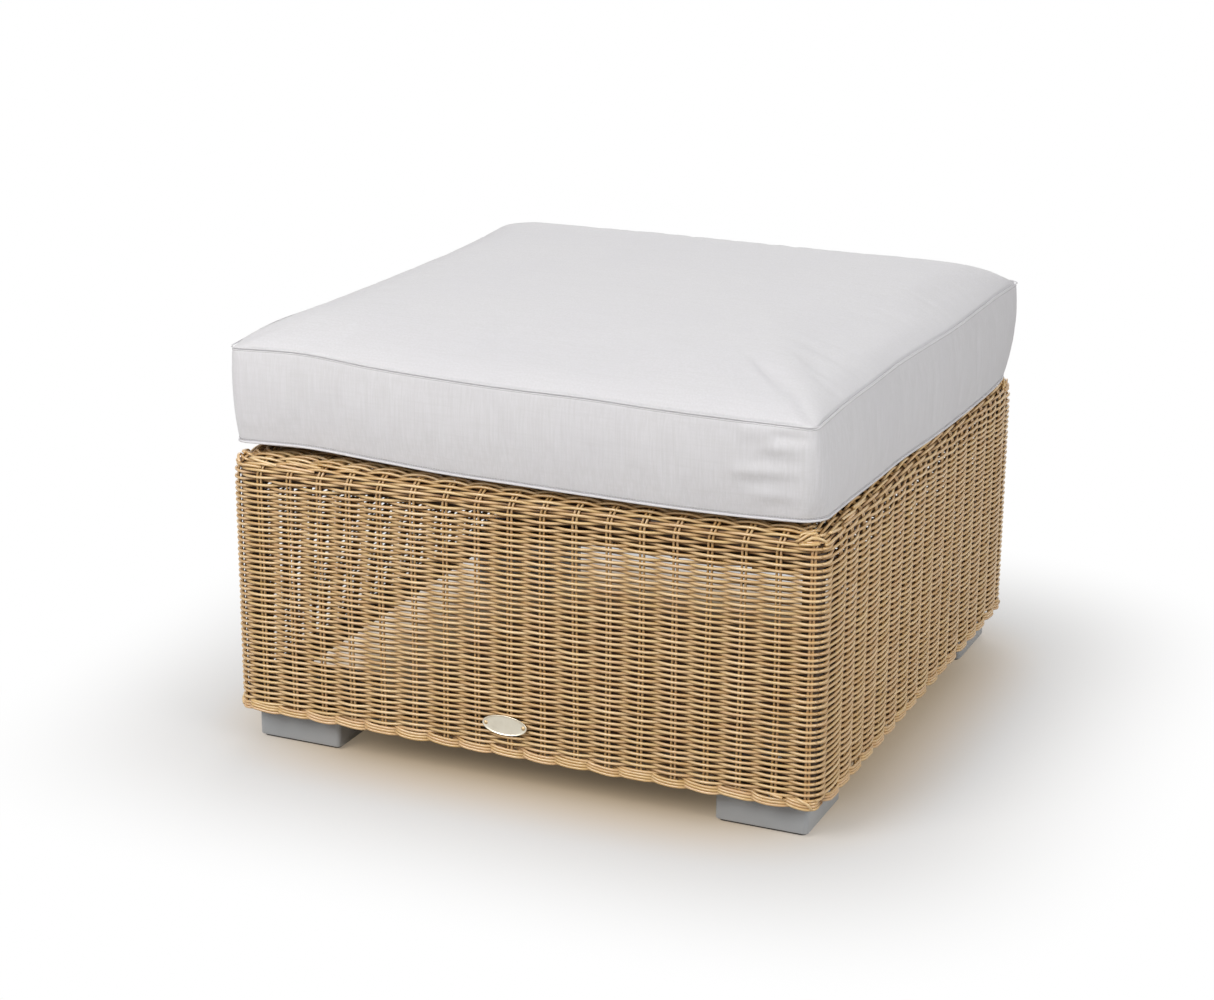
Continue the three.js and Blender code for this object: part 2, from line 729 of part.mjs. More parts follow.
function plate_pieces() {
  const plate = new THREE.Group();
  plate.add(named_mesh("oval_plate", oval_plate(), finishes.plate));
  for (const [name, side] of [["left", -1], ["right", 1]]) {
    const mesh = named_mesh(`plate_rivet_${name}`, rivet(), finishes.rivet);
    mesh.position.set((side * rivet_spacing) / 2, 0, oval_thickness + seat_gap);
    plate.add(mesh);
  }
  plate.rotation.x = Math.PI / 2;
  plate.position.set(oval_centre_x, -body_depth / 2 - seat_gap, oval_centre_z);
  return plate;
}

function woven_pieces() {
  const weave = new THREE.Group();
  sides.forEach((side, quarter) => {
    const mesh = named_mesh(`woven_${side.name}`, woven_side(side), finishes.strand);
    mesh.rotation.z = (quarter * Math.PI) / 2;
    weave.add(mesh);
  });
  const deck = named_mesh("woven_deck", woven_deck(), finishes.deck);
  deck.position.z = body_top;
  weave.add(deck);
  return weave;
}

const ottoman = new THREE.Group();
ottoman.add(frame_pieces(), foot_pieces(), woven_pieces(), plate_pieces(), cushion_pieces());

export default ottoman;
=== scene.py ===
import json
import math

import bmesh
import bpy
import numpy as np
from mathutils import Matrix, Vector
from mathutils.bvhtree import BVHTree


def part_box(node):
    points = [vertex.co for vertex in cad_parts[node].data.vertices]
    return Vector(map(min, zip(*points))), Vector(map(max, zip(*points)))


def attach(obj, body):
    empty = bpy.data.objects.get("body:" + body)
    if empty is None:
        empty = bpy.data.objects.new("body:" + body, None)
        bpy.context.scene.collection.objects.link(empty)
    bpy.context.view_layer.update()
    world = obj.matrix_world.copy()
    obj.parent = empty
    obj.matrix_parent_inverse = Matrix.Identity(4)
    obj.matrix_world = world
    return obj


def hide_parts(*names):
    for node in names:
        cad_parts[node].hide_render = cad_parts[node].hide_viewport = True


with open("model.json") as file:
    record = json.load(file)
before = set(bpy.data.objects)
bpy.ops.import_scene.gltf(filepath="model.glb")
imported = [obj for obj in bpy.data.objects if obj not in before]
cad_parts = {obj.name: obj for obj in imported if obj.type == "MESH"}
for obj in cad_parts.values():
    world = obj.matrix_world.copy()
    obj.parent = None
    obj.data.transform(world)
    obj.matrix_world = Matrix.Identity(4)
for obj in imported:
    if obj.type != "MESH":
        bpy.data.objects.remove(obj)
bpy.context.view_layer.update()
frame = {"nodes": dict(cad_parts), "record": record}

bpy.context.scene.view_settings.view_transform = "Standard"

MM = 0.001
SIDES = ("front", "right", "rear", "left")
CORNERS = ("front_left", "front_right", "rear_right", "rear_left")

# Woven body, in millimetres. Its reach and its heights come from the frame, whose lower
# border dips a little at each stake.
BORDER_DIP = 3.0
BODY_HALF = -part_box("woven_front")[0].y / MM
BODY_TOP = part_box("woven_front")[1].z / MM
WEAVE_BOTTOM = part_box("woven_front")[0].z / MM + BORDER_DIP
CORNER_RADIUS = 22.0
ROLL_RADIUS = 22.0
RIM_WIDTH = 18.0
RIM_CORNER_RADIUS = 5.0

# Plain weave of round strands over pairs of round stakes, whose places along a side are
# measured from its middle. Each row passes in front of one pair and behind the next. Twelve
# strands climb round the body together, by three rows a side.
STRAND_RADIUS = 1.52
STAKE_RADIUS = 1.35
STAKE_SPREAD = 2.05
STAKES_ON_WIDE_SIDES = (
    -291.7, -256.5, -222.5, -188.3, -152.3, -115.2, -78.4, -42.1, -5.5,
    31.0, 66.6, 101.9, 137.1, 172.4, 207.9, 243.4, 279.6, 315.0,
)
STAKES_ON_CLOSE_SIDES = (
    -279.0, -246.0, -210.0, -171.5, -135.0, -97.0, -59.5, -23.0, 13.0,
    54.0, 89.5, 126.0, 168.0, 205.5, 241.0, 279.0, 320.0,
)
ROW_PITCH = 3.03
ROWS_CLIMBED = 3
STRANDS = 4 * ROWS_CLIMBED
STRAND_SIDES = 8
DECK_STRAND_SIDES = 6
STEPS_PER_STAKE = 8

# How far a strand strays up and inward, how far past the weave's edges it is tucked in, and how much darker
# the stakes and the border are than the rows, as painted shade.
STRAY_UP = 0.26
STRAY_IN = 0.16
TUCK_RUN = 2.2
STAKE_PAINTED_SHADE = 0.6
BORDER_PAINTED_SHADE = 0.55

# Lower border: at each stake a bundle of strands side by side, which reach to both sides of it
# by a share of the way to the next stake.
BORDER_STRANDS = 3
BORDER_LOWEST = 1.7
BORDER_STEP = 3.0
BORDER_REACH = 0.8

# Worked out from these: the straight part and the whole run of a side, the stakes round the
# body, the way up a wall, over its rolled edge and in along the rim, and the first and last
# rows. The rows stand wider apart from a little below the rolled edge on.
STRAIGHT = BODY_HALF - CORNER_RADIUS
SIDE_RUN = 2 * STRAIGHT + CORNER_RADIUS * math.pi / 2
STAKES_BY_SIDE = (STAKES_ON_WIDE_SIDES, STAKES_ON_CLOSE_SIDES) * 2
STAKE_PLACES = np.concatenate([
    np.array(runs) + SIDE_RUN * (quarter + 0.5) for quarter, runs in enumerate(STAKES_BY_SIDE)
])
STAKE_COUNT = len(STAKE_PLACES)
STAKE_PITCH = 4 * SIDE_RUN / STAKE_COUNT
DECK_HALF = BODY_HALF - ROLL_RADIUS - RIM_WIDTH
WALL_RUN = BODY_TOP - ROLL_RADIUS - WEAVE_BOTTOM
ROLL_RUN = ROLL_RADIUS * math.pi / 2
PROFILE_RUN = WALL_RUN + ROLL_RUN + RIM_WIDTH
STAKE_DEPTH = 2 * STRAND_RADIUS + STAKE_RADIUS
WEAVE_SWING = STRAND_RADIUS + STAKE_RADIUS
FIRST_ROW = BORDER_LOWEST + BORDER_STEP * (BORDER_STRANDS - 1) + 2.2 * STRAND_RADIUS
WIDENING_START = WALL_RUN - 12.0
WIDENING = 0.3
LAST_ROW = (PROFILE_RUN - 3.0 + WIDENING * WIDENING_START) / (1 + WIDENING)


# Camera, from a fit to the photograph's edges: its place in metres, its turn from the front,
# its height above the level and its roll in degrees, and its lens in millimetres.
CAMERA_PLACE = (1.0658, -2.5236, 1.0915)
CAMERA_ANGLES = (23.711, 17.718, 0.334)
CAMERA_LENS = 76.98


def add_object(name, data):
    """Puts a new object into the scene."""
    piece = bpy.data.objects.new(name, data)
    bpy.context.scene.collection.objects.link(piece)
    return piece


def make_camera():
    """The camera at the photograph's viewpoint, which stands to the right and above."""
    data = bpy.data.cameras.new("camera")
    data.lens = CAMERA_LENS
    data.sensor_width = 36.0
    data.sensor_fit = "HORIZONTAL"
    camera = add_object("camera", data)
    azimuth, elevation, roll = (math.radians(angle) for angle in CAMERA_ANGLES)
    place = Matrix.Translation(CAMERA_PLACE)
    for angle, axis in ((azimuth, "Z"), (math.pi / 2 - elevation, "X"), (roll, "Z")):
        place = place @ Matrix.Rotation(angle, 4, axis)
    camera.matrix_world = place
    bpy.context.scene.camera = camera


make_camera()

# How the grain of a tube is laid on it: its step for each millimetre along the tube, and from
# one tube to the next.
LAY_SCALE = 0.01
LAY_STEP = 3.0


def quad_mesh(name, points, quads, caps=()):
    """A smooth mesh from arrays of points in millimetres, quads, and lists of caps."""
    mesh = bpy.data.meshes.new(name)
    loops = np.concatenate([np.ravel(quads), *caps]).astype(np.int32)
    sizes = np.array([4] * len(quads) + [len(cap) for cap in caps], dtype=np.int32)
    starts = (np.cumsum(sizes) - sizes).astype(np.int32)
    mesh.vertices.add(len(points))
    mesh.vertices.foreach_set("co", (np.asarray(points, dtype=np.float64) * MM).ravel())
    mesh.loops.add(len(loops))
    mesh.loops.foreach_set("vertex_index", loops)
    mesh.polygons.add(len(sizes))
    mesh.polygons.foreach_set("loop_start", starts)
    mesh.polygons.foreach_set("use_smooth", np.ones(len(sizes), dtype=bool))
    mesh.update(calc_edges=True)
    mesh.validate()
    return mesh


def ring_faces(rings, sides, count=1):
    """Quads and end caps of closed tubes whose points follow each other ring by ring."""
    here = np.arange(sides)
    after = (here + 1) % sides
    first = (np.arange(count)[:, None] * rings + np.arange(rings - 1)).reshape(-1, 1) * sides
    quads = stacked(first + here, first + after, first + sides + after, first + sides + here)
    starts = np.arange(count) * rings * sides
    ends = starts + (rings - 1) * sides
    caps = [start + here[::-1] for start in starts] + [end + here for end in ends]
    return quads.reshape(-1, 4), caps


def ring_solid(name, rings):
    """A closed piece from rings of as many points each, which follow each other."""
    rings = np.asarray(rings, dtype=float)
    mesh = quad_mesh(name, rings.reshape(-1, 3), *ring_faces(*rings.shape[:2]))
    reshape(mesh, lambda shape: bmesh.ops.recalc_face_normals(shape, faces=shape.faces))
    return add_object(name, mesh)


def reshape(mesh, change):
    """Lets a function change a mesh in its editable form."""
    shape = bmesh.new()
    shape.from_mesh(mesh)
    change(shape)
    shape.to_mesh(mesh)
    shape.free()


def round_angles(steps):
    return np.arange(steps) * 2 * math.pi / steps


def stacked(*parts):
    """Vectors from their parts, such as x, y and z."""
    return np.stack(np.broadcast_arrays(*parts), axis=-1)


def unit(vectors):
    return vectors / np.linalg.norm(vectors, axis=-1, keepdims=True)


def eased_step(value, low, high):
    """A smooth step from 0 at the low value to 1 at the high one."""
    share = np.clip((value - low) / (high - low), 0, 1)
    return share * share * (3 - 2 * share)


def tubes(name, radius, sides, paths, facings, tints):
    """Round closed tubes along equal-length paths.

    paths, facings and tints are arrays of (tube, step, 3). A facing is a direction that isn't
    along the path, from which the section is turned. The tints are kept on the mesh for the
    material, with each point's place along and around its tube.
    """
    count, steps, _ = paths.shape
    along = unit(np.gradient(paths, axis=1))
    side = unit(np.cross(along, facings))
    face = np.cross(side, along)
    cos, sin = np.cos(round_angles(sides)), np.sin(round_angles(sides))
    ring = cos[:, None] * face[:, :, None, :] + sin[:, None] * side[:, :, None, :]
    points = (paths[:, :, None, :] + radius * ring).reshape(-1, 3)
    mesh = quad_mesh(name, points, *ring_faces(steps, sides, count))

    run = np.cumsum(np.linalg.norm(np.diff(paths, axis=1), axis=-1), axis=1)
    lay = np.zeros((count, steps, sides, 3))
    lay[:, 1:, :, 0] = run[:, :, None] * LAY_SCALE
    lay[..., 1] = cos
    lay[..., 2] = sin + LAY_STEP * np.arange(count)[:, None, None]
    keep_vectors(mesh, "lay", lay.reshape(-1, 3))
    keep_vectors(mesh, "tint", np.repeat(tints.reshape(-1, 3), sides, axis=0))
    return mesh


def tube_piece(name, radius, sides, strands, finish, body):
    """A dressed piece of round tubes; strands is their paths, facings and tints."""
    piece = add_object(name, tubes(name, radius, sides, *strands))
    dress(piece, finish, body)
    return piece


def facing_along(paths, axis):
    """Facings along x, y or z for each point of some paths."""
    facings = np.zeros_like(paths)
    facings[..., axis] = 1
    return facings


def plain_strands(paths, axis):
    """Paths without tints, with their facings along one axis."""
    return paths, facing_along(paths, axis), np.zeros_like(paths)


def keep_vectors(mesh, name, values):
    layer = mesh.attributes.new(name, "FLOAT_VECTOR", "POINT")
    layer.data.foreach_set("vector", np.asarray(values, dtype=np.float32).ravel())


def skin(run, rise, depth):
    """Points and outward directions of the front side's skin.

    run goes along the side from its middle, rise up the wall, over the top edge and in along
    the rim, and depth into the skin.
    """
    angle = np.clip((rise - WALL_RUN) / ROLL_RUN, 0, 1) * math.pi / 2
    past = np.maximum(0, rise - WALL_RUN - ROLL_RUN)
    arc = ROLL_RADIUS - depth
    inset = ROLL_RADIUS - arc * np.cos(angle) + past
    height = WEAVE_BOTTOM + np.minimum(rise, WALL_RUN) + arc * np.sin(angle)
    radius = np.maximum(CORNER_RADIUS - inset, RIM_CORNER_RADIUS)
    bend = np.clip((np.abs(run) - STRAIGHT) / CORNER_RADIUS, 0, math.pi / 2)
    beyond = np.maximum(0, np.abs(run) - STRAIGHT - CORNER_RADIUS * math.pi / 2)
    half = BODY_HALF - inset - radius
    along = np.minimum(1, np.abs(run) / STRAIGHT) * half + radius * np.sin(bend)
    across = -BODY_HALF + inset + radius * (1 - np.cos(bend)) + beyond
    sign = np.sign(run)
    points = stacked(sign * along, across, height)
    facing = stacked(
        np.cos(angle) * sign * np.sin(bend),
        -np.cos(angle) * np.cos(bend),
        np.sin(angle),
    )
    return points, facing


def on_side(quarter, run, rise, depth, tints):
    """Paths, facings and tints of strands that lie in the skin of one side."""
    paths, facings = skin(run, rise, depth)
    return turned(paths, quarter), turned(facings, quarter), tints


def place_of(quarter, run):
    """The way round the body to a run along a side, from the corner before the front."""
    return run + SIDE_RUN * (quarter + 0.5)


def turned(points, quarter):
    """Points carried round the body by quarter turns, from the front side to another."""
    turn = np.array(Matrix.Rotation(quarter * math.pi / 2, 3, "Z"))
    return points @ turn.T


def wander(seed, place, rise, reach, waves=(2, 16), climb=0.03):
    """A smooth uneven field that closes on itself round the body."""
    draw = np.random.default_rng(seed)
    total = np.zeros(np.broadcast(place, rise).shape)
    for _ in range(6):
        turns = draw.integers(*waves)
        slope = draw.uniform(-climb, climb)
        phase = draw.uniform(0, 2 * math.pi)
        total += np.sin(2 * math.pi * turns * place / (4 * SIDE_RUN) + slope * rise + phase)
    return total * reach / math.sqrt(3)


def at_stakes(table, stake):
    """Values of a table (course, stake) at real stake numbers, eased between stakes."""
    low = np.floor(stake).astype(int)
    share = eased_step(stake - low, 0, 1)
    count = table.shape[1]
    course = np.arange(table.shape[0])[:, None]
    return table[course, low % count] * (1 - share) + table[course, (low + 1) % count] * share


def strand_tints(seed, count, stake):
    """Tone, warmth and a second tone of each strand, drifting along it."""
    draw = np.random.default_rng(seed)
    tone = draw.uniform(0, 1, (count, 1))
    drift = at_stakes(draw.uniform(-0.28, 0.28, (count, STAKE_COUNT)), stake)
    warmth = draw.uniform(0, 1, (count, 1))
    return stacked(np.clip(tone + drift, 0, 1), warmth, drift + 0.5)


def sway(stake, row):
    """How deep a strand lies: in front of every second stake and behind the others."""
    swing = np.cos(math.pi * (stake + row))
    return STAKE_DEPTH - WEAVE_SWING * swing * (1.15 - 0.15 * swing * swing)


def stake_number(place):
    """The number of the stake at a place round the body, with shares between stakes."""
    around = 4 * SIDE_RUN
    places = np.concatenate([STAKE_PLACES - around, STAKE_PLACES, STAKE_PLACES + around])
    return np.interp(place, places, np.arange(3 * STAKE_COUNT) - STAKE_COUNT)


def climb(row, place):
    """How far up the skin each row lies as it climbs, and how far it is tucked in. It is tucked
    in where it would pass below the border or beyond the rim."""
    climbed = FIRST_ROW + ROW_PITCH * (row + ROWS_CLIMBED * place / SIDE_RUN)
    held = np.clip(climbed, FIRST_ROW, LAST_ROW)
    excess = climbed - held
    level = held + 0.35 * excess
    rise = level + WIDENING * np.maximum(0, level - WIDENING_START)
    return rise, eased_step(np.abs(excess), 0.0, TUCK_RUN)


def woven_rows(quarter):
    """The strands of one side. Each is one of twelve that wind up round the body, so that its
    stray and its tint carry on from side to side and from one turn to the next."""
    last = int((LAST_ROW - FIRST_ROW) / ROW_PITCH)
    row = np.arange(-ROWS_CLIMBED * (quarter + 1), last - ROWS_CLIMBED * quarter + 1)[:, None]
    steps = len(STAKES_BY_SIDE[quarter]) * STEPS_PER_STAKE + 1
    run = np.linspace(-SIDE_RUN / 2, SIDE_RUN / 2, steps)[None, :]
    place = place_of(quarter, run)
    rise, tucked = climb(row, place)
    stake = stake_number(place + stake_wander(place, rise))

    turns = last // STRANDS + 3
    strand = (row % STRANDS)[:, 0]
    wound = stake + STAKE_COUNT * (row // STRANDS)
    tables = np.random.default_rng(41).normal(0, 1, (3, STRANDS, STAKE_COUNT * turns))
    lift, sink, drift = (at_stakes(table[strand], wound) for table in tables)
    depth = sway(stake, row) + STRAY_IN * np.abs(sink)
    depth = depth + (STAKE_DEPTH + WEAVE_SWING + 0.3 - depth) * tucked
    loose = 1 + 1.2 * eased_step(rise, WIDENING_START, WALL_RUN + ROLL_RUN)
    rise = rise + STRAY_UP * lift * loose + wander(7, place, rise, 0.5)

    shade = np.random.default_rng(23).uniform(0, 1, (2, STRANDS, 1))[:, strand]
    tone = np.clip(shade[0] + 0.2 * drift, 0, 1)
    tints = stacked(tone, shade[1], 0.5 + 0.2 * drift)
    return on_side(quarter, run, rise, depth, tints)


def stake_wander(place, rise):
    """How far the stakes stray from even spacing, and how they lean over the top edge."""
    lean = 5.0 * np.clip((rise - WALL_RUN) / ROLL_RUN, 0, 1.4)
    return wander(5, place, rise, 0.6, waves=(3, 30), climb=0.02) - lean


def woven_stakes(quarter):
    """The pairs of upright stakes of one side, from under the border to the deck."""
    rise = np.linspace(2.0, PROFILE_RUN, 76)[None, :]
    middles = np.repeat(STAKES_BY_SIDE[quarter], 2)[:, None]
    hand = np.tile([-1, 1], len(middles) // 2)[:, None]
    run = middles - stake_wander(place_of(quarter, middles), rise) + hand * STAKE_SPREAD
    tints = strand_tints(61 + quarter, len(middles), rise / STAKE_PITCH)
    # Painted shade: the stakes' tone is darkened.
    tints[..., 0] *= STAKE_PAINTED_SHADE
    return on_side(quarter, run, rise, STAKE_DEPTH, tints)


def border_arcs(quarter):
    """The lower border: at each stake three strands side by side swoop down in front of it,
    come from behind the bundle before and dive behind the one after, like a rope."""
    share = np.linspace(-1, 1, 27)[None, :]
    middles = np.repeat(STAKES_BY_SIDE[quarter], BORDER_STRANDS)[:, None]
    row = np.tile(np.arange(BORDER_STRANDS), len(middles) // BORDER_STRANDS)[:, None]
    run = middles + share * STAKE_PITCH * BORDER_REACH
    before = np.clip(-share, 0, 1)
    after = np.clip(share, 0, 1)
    rise = BORDER_LOWEST + BORDER_STEP * row + 3.4 * before ** 2 + 0.9 * before + 0.4 * after ** 2
    rise = rise + wander(9, place_of(quarter, run), rise, 0.35, waves=(10, 60))
    back = 4.8 * eased_step(before, 0.45, 1.0) + 5.4 * eased_step(after, 0.2, 0.8)
    tints = strand_tints(71 + quarter, len(middles), share + 2)
    # Painted shade: the border's tone is darkened.
    tints[..., 0] *= BORDER_PAINTED_SHADE
    return on_side(quarter, run, rise, STRAND_RADIUS + 0.25 * row + back, tints)


# Strand ends that the weaver left at each corner: the side each lies on, counted from the one
# before the corner, and its course in run along that side, rise and depth.
LOOSE_ENDS = (
    (0, ((299, 273, 0.5), (310, 274, -0.6), (321, 275, -1.4))),
    (0, ((303, 276, 1.0), (313, 280, -2.8), (323, 278.5, -2.8), (330, 275, -0.6))),
    (0, ((298, 281, 0.0), (303, 285, -1.6), (312, 284.5, -2.6), (319, 289, 0.0))),
    (0, ((295, 276, 1.0), (302, 280, -1.2), (309, 285, -2.2), (321, 286, -0.6))),
    (1, ((-222, 283, 1.5), (-240, 283.5, 0.0), (-262, 284, -1.6))),
    (1, ((-182, 287, 1.5), (-200, 286, 0.0), (-226, 286, -1.6))),
    (1, ((-228, 277, 1.5), (-248, 277.5, 0.0), (-271, 278, -1.6))),
    (1, ((-262, 278, 1.5), (-280, 279, 0.0), (-303, 282, -1.6))),
    (1, ((-290, 274, 1.5), (-307, 274, 0.0), (-321, 273, -1.2))),
    (0, ((303, 12, 2.0), (312, 10, -0.6), (317, 7, -1.6), (320, 2, -0.6))),
    (0, ((272, 13, 2.0), (281, 12, -0.4), (290, 11, -1.6))),
)


def loose_ends(quarter):
    """Short ends of strand that stand out of the weave near the corner after a side."""
    steps = np.linspace(0, 1, 9)
    paths, facings = [], []
    for side, course in LOOSE_ENDS:
        at = np.linspace(0, 1, len(course))
        run, rise, depth = (
            np.polyval(np.polyfit(at, values, len(course) - 1), steps) for values in zip(*course)
        )
        path, facing, _ = on_side(quarter + side, run, rise, STRAND_RADIUS + depth, None)
        paths.append(path)
        facings.append(facing)
    return np.array(paths), np.array(facings), strand_tints(91 + quarter, len(paths), steps[None, :])


def deck_rows():
    """Rows of the deck, from side to side over its own stakes."""
    half = DECK_HALF + 1.2
    rows = np.arange(-half + ROW_PITCH, half - 0.5 * ROW_PITCH, ROW_PITCH)[:, None]
    across = np.linspace(-half, half, 109)[None, :]
    stakes = deck_stake_places()
    stake = (across - stakes[0]) / (stakes[1] - stakes[0])
    lift = at_stakes(np.random.default_rng(83).normal(0, 0.22, (len(rows), 24)), stake + 2)
    depth = sway(stake, np.arange(len(rows))[:, None])
    points = stacked(across, rows + lift, BODY_TOP - depth)
    return points, facing_along(points, 2), strand_tints(29, len(rows), stake + 2)


def deck_stake_places():
    """Where the sixteen pairs of the deck's stakes stand, from left to right."""
    return (np.arange(16) - 7.5) * (DECK_HALF - RIM_CORNER_RADIUS) / 8


def deck_stakes():
    """The pairs of stakes of the deck, from front to rear."""
    places = (deck_stake_places()[:, None] + np.array([-STAKE_SPREAD, STAKE_SPREAD])).reshape(-1, 1)
    along = np.linspace(-DECK_HALF - 2.0, DECK_HALF + 2.0, 60)[None, :]
    points = stacked(places, along, BODY_TOP - STAKE_DEPTH)
    return points, facing_along(points, 2), strand_tints(31, len(places), along / STAKE_PITCH + 10)


def make_weave():
    """The weave's pieces: on each side its rows, stakes, border and loose ends, and the deck."""
    parts = (
        ("rows", woven_rows, STRAND_RADIUS), ("stakes", woven_stakes, STAKE_RADIUS),
        ("border", border_arcs, STRAND_RADIUS), ("ends", loose_ends, STRAND_RADIUS),
    )
    for quarter, side in enumerate(SIDES):
        rows, *_ = [
            tube_piece(f"{side}_{part}", radius, STRAND_SIDES, strands(quarter), "strand", "base")
            for part, strands, radius in parts
        ]
        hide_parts(f"woven_{side}")
    deck = tube_piece("deck_rows", STRAND_RADIUS, DECK_STRAND_SIDES, deck_rows(), "strand", "base")
    tube_piece("deck_stakes", STAKE_RADIUS, DECK_STRAND_SIDES, deck_stakes(), "strand", "base")
    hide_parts("woven_deck")


# Cushion, in millimetres. Its half width is at the seams.
CUSHION_HALF = 325.0
TOP_SEAM = 429.3
BOTTOM_SEAM = 329.3
CROWN = 28.0
REST_HEIGHT = BODY_TOP + 0.35
COVER_CELLS = 104
COVER_ROWS = 16
FOAM_CELLS = 40
FOAM_ROWS = 6
FOAM_INSET = 8.0
BOXING_SWELL = 3.0
SWELL_FRAMES = 20
MOST_SWELL = 7.0
GROOVE_WIDTH = 1.3
GROOVE_DEPTH = 0.9

# Zip, in millimetres, in the rear boxing: its tape, the coil along it, which starts a little
# inside the tape's ends, the lips of folded fabric, the tacks and the slider.
ZIP_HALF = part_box("zip_tape")[1].x / MM
ZIP_HEIGHT = (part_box("zip_tape")[0].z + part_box("zip_tape")[1].z) / (2 * MM)
ZIP_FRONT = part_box("zip_tape")[0].y / MM
ZIP_GROUND = ZIP_FRONT - 0.5
TAPE_THICKNESS = 0.6
TAPE_HALF_HEIGHT = 7.0
COIL_RADIUS = 0.34
COIL_PITCH = 1.25
COIL_SIDES = 5
COIL_START = 4.0
LIP_RISE = 7.6
LIP_HALF_HEIGHT = 2.3
LIP_HALF_DEPTH = 1.15
TACK_HALF = 5.6
TACK_RADIUS = 0.34
SLIDER_PLATE = 1.3

# Round the zip the boxing is held flat, up to the first of each two distances, and is free past
# the second: above and below its middle, and beyond its ends.
FLAT_HEIGHTS = (13.0, 30.0)
FLAT_ENDS = (6.0, 40.0)
FLAT_GIVE = 12.0

# The seams' strays from a level square, a line for each side from the front left corner round
# by the front: at nine places from corner to corner, how far the seam stands out and how much it
# is raised. Near a corner a seam is also drawn along by the stray of the next side.
CORNER_PULL = 55.0
TOP_STRAYS = (
    ((-1.2, 2.0), (-7.0, 3.3), (-4.0, -1.3), (0.0, -3.3), (3.0, -3.9),
     (4.0, -3.6), (5.0, -5.4), (4.0, -6.3), (-3.5, -8.3)),
    ((-14.0, -8.3), (-11.0, -2.3), (-8.8, -0.3), (-9.0, -0.3), (-5.0, -0.3),
     (-0.7, -0.3), (-0.2, -0.3), (1.3, 0.8), (4.8, 1.2)),
    ((-9.0, 1.2), (-6.0, 5.5), (-5.5, 8.0), (-5.0, 10.0), (-5.0, 11.0),
     (-5.0, 11.0), (-6.0, 9.5), (-5.0, 4.5), (-1.0, 1.5)),
    ((-1.0, 1.5), (-5.0, 2.0), (-5.5, 2.5), (-6.0, 3.0), (-6.0, 3.0),
     (-5.5, 4.5), (-5.0, 7.0), (-4.0, 8.5), (-1.2, 2.0)),
)
BOTTOM_STRAYS = (
    ((-3.5, 1.7), (-10.9, 2.2), (-7.1, 0.0), (-3.4, -2.3), (-1.7, -2.8),
     (0.0, -3.2), (1.0, -3.5), (-1.5, -3.1), (-8.0, -2.3)),
    ((-8.0, -2.3), (-7.3, -2.3), (-5.7, -3.0), (-4.5, -3.0), (0.0, -3.8),
     (2.0, -5.0), (3.0, -5.8), (3.0, -5.7), (0.0, -4.0)),
    ((0.0, -4.0), (-2.0, -4.0), (-4.0, -4.2), (-4.5, -4.4), (-4.5, -4.4),
     (-4.0, -4.0), (-3.5, -3.4), (-3.0, -2.4), (-3.0, -1.0)),
    ((-3.0, -1.0), (-4.0, -2.4), (-4.5, -3.4), (-5.0, -4.0), (-5.0, -4.0),
     (-5.0, -3.0), (-5.0, -1.4), (-4.0, 0.4), (-3.5, 1.7)),
)
TOP_RADII = (9.0, 10.0, 9.0, 26.0)
BOTTOM_RADII = (12.0, 24.0, 50.0, 34.0)


def strayed(strays, place):
    """How far a seam stands out, is raised and is drawn along its side at each place."""
    strays = np.asarray(strays)
    place = np.asarray(place) % 1.0
    side = np.floor(place * 4).astype(int)
    share = place * 4 - side
    last = strays.shape[1] - 1
    low = np.minimum(np.floor(share * last).astype(int), last - 1)
    part = (share * last - low)[..., None]
    before, here, after, beyond = (strays[side, np.clip(low + step, 0, last)] for step in (-1, 0, 1, 2))
    square = 2 * before - 5 * here + 4 * after - beyond
    cube = 3 * (here - after) + beyond - before
    stray = here + 0.5 * part * (after - before + part * (square + part * cube))
    start = np.exp(-(share * 2 * CUSHION_HALF / CORNER_PULL) ** 2)
    end = np.exp(-((1 - share) * 2 * CUSHION_HALF / CORNER_PULL) ** 2)
    along = strays[(side + 1) % 4, 0, 0] * end - strays[side - 1, last, 0] * start
    return np.concatenate([stray, along[..., None]], axis=-1)


def outline(place, radii, inset=0.0):
    """A square with its own radius at each corner, and the outward direction.

    place runs from 0 to 1 from the front left corner round by the front.
    """
    place = np.asarray(place) % 1.0
    quarter = np.floor(place * 4).astype(int)
    share = place * 4 - quarter
    radius = np.where(share < 0.5, np.array(radii)[quarter], np.array(radii)[(quarter + 1) % 4])
    arc = radius * math.pi / 4
    straight = CUSHION_HALF - radius
    run = (share - 0.5) * 2 * (straight + arc)
    bend = np.maximum(0, (np.abs(run) - straight) / radius)
    x = np.sign(run) * (np.minimum(np.abs(run), straight) + (radius - inset) * np.sin(bend))
    y = -CUSHION_HALF + radius - (radius - inset) * np.cos(bend)
    out_x = np.sign(run) * np.sin(bend)
    out_y = -np.cos(bend)
    return spun(x, y, quarter), spun(out_x, out_y, quarter)


def spun(x, y, quarter):
    """Flat directions or places of the front side, carried round by quarter turns."""
    cos, sin = np.cos(quarter * math.pi / 2), np.sin(quarter * math.pi / 2)
    return stacked(x * cos - y * sin, x * sin + y * cos)


def boxing_line(place, share, inset=0.0):
    """Points round the cushion, at a share of the way down from its top to its bottom seam,
    and the outward direction. The seams stray as they do in the photograph."""
    late = share ** 3
    radii = np.array(TOP_RADII) * (1 - late) + np.array(BOTTOM_RADII) * late
    spot, out = outline(place, radii, inset)
    stray = strayed(TOP_STRAYS, place) * (1 - share) + strayed(BOTTOM_STRAYS, place) * share
    level = TOP_SEAM * (1 - share) + BOTTOM_SEAM * share
    swell = BOXING_SWELL * 4 * share * (1 - share)
    quarter = np.floor(np.asarray(place) % 1.0 * 4)
    flat = spot + out * swell + spun(0, -1, quarter) * stray[..., :1] + spun(1, 0, quarter) * stray[..., 2:]
    return np.concatenate([flat, level + stray[..., 1:2]], axis=-1), out


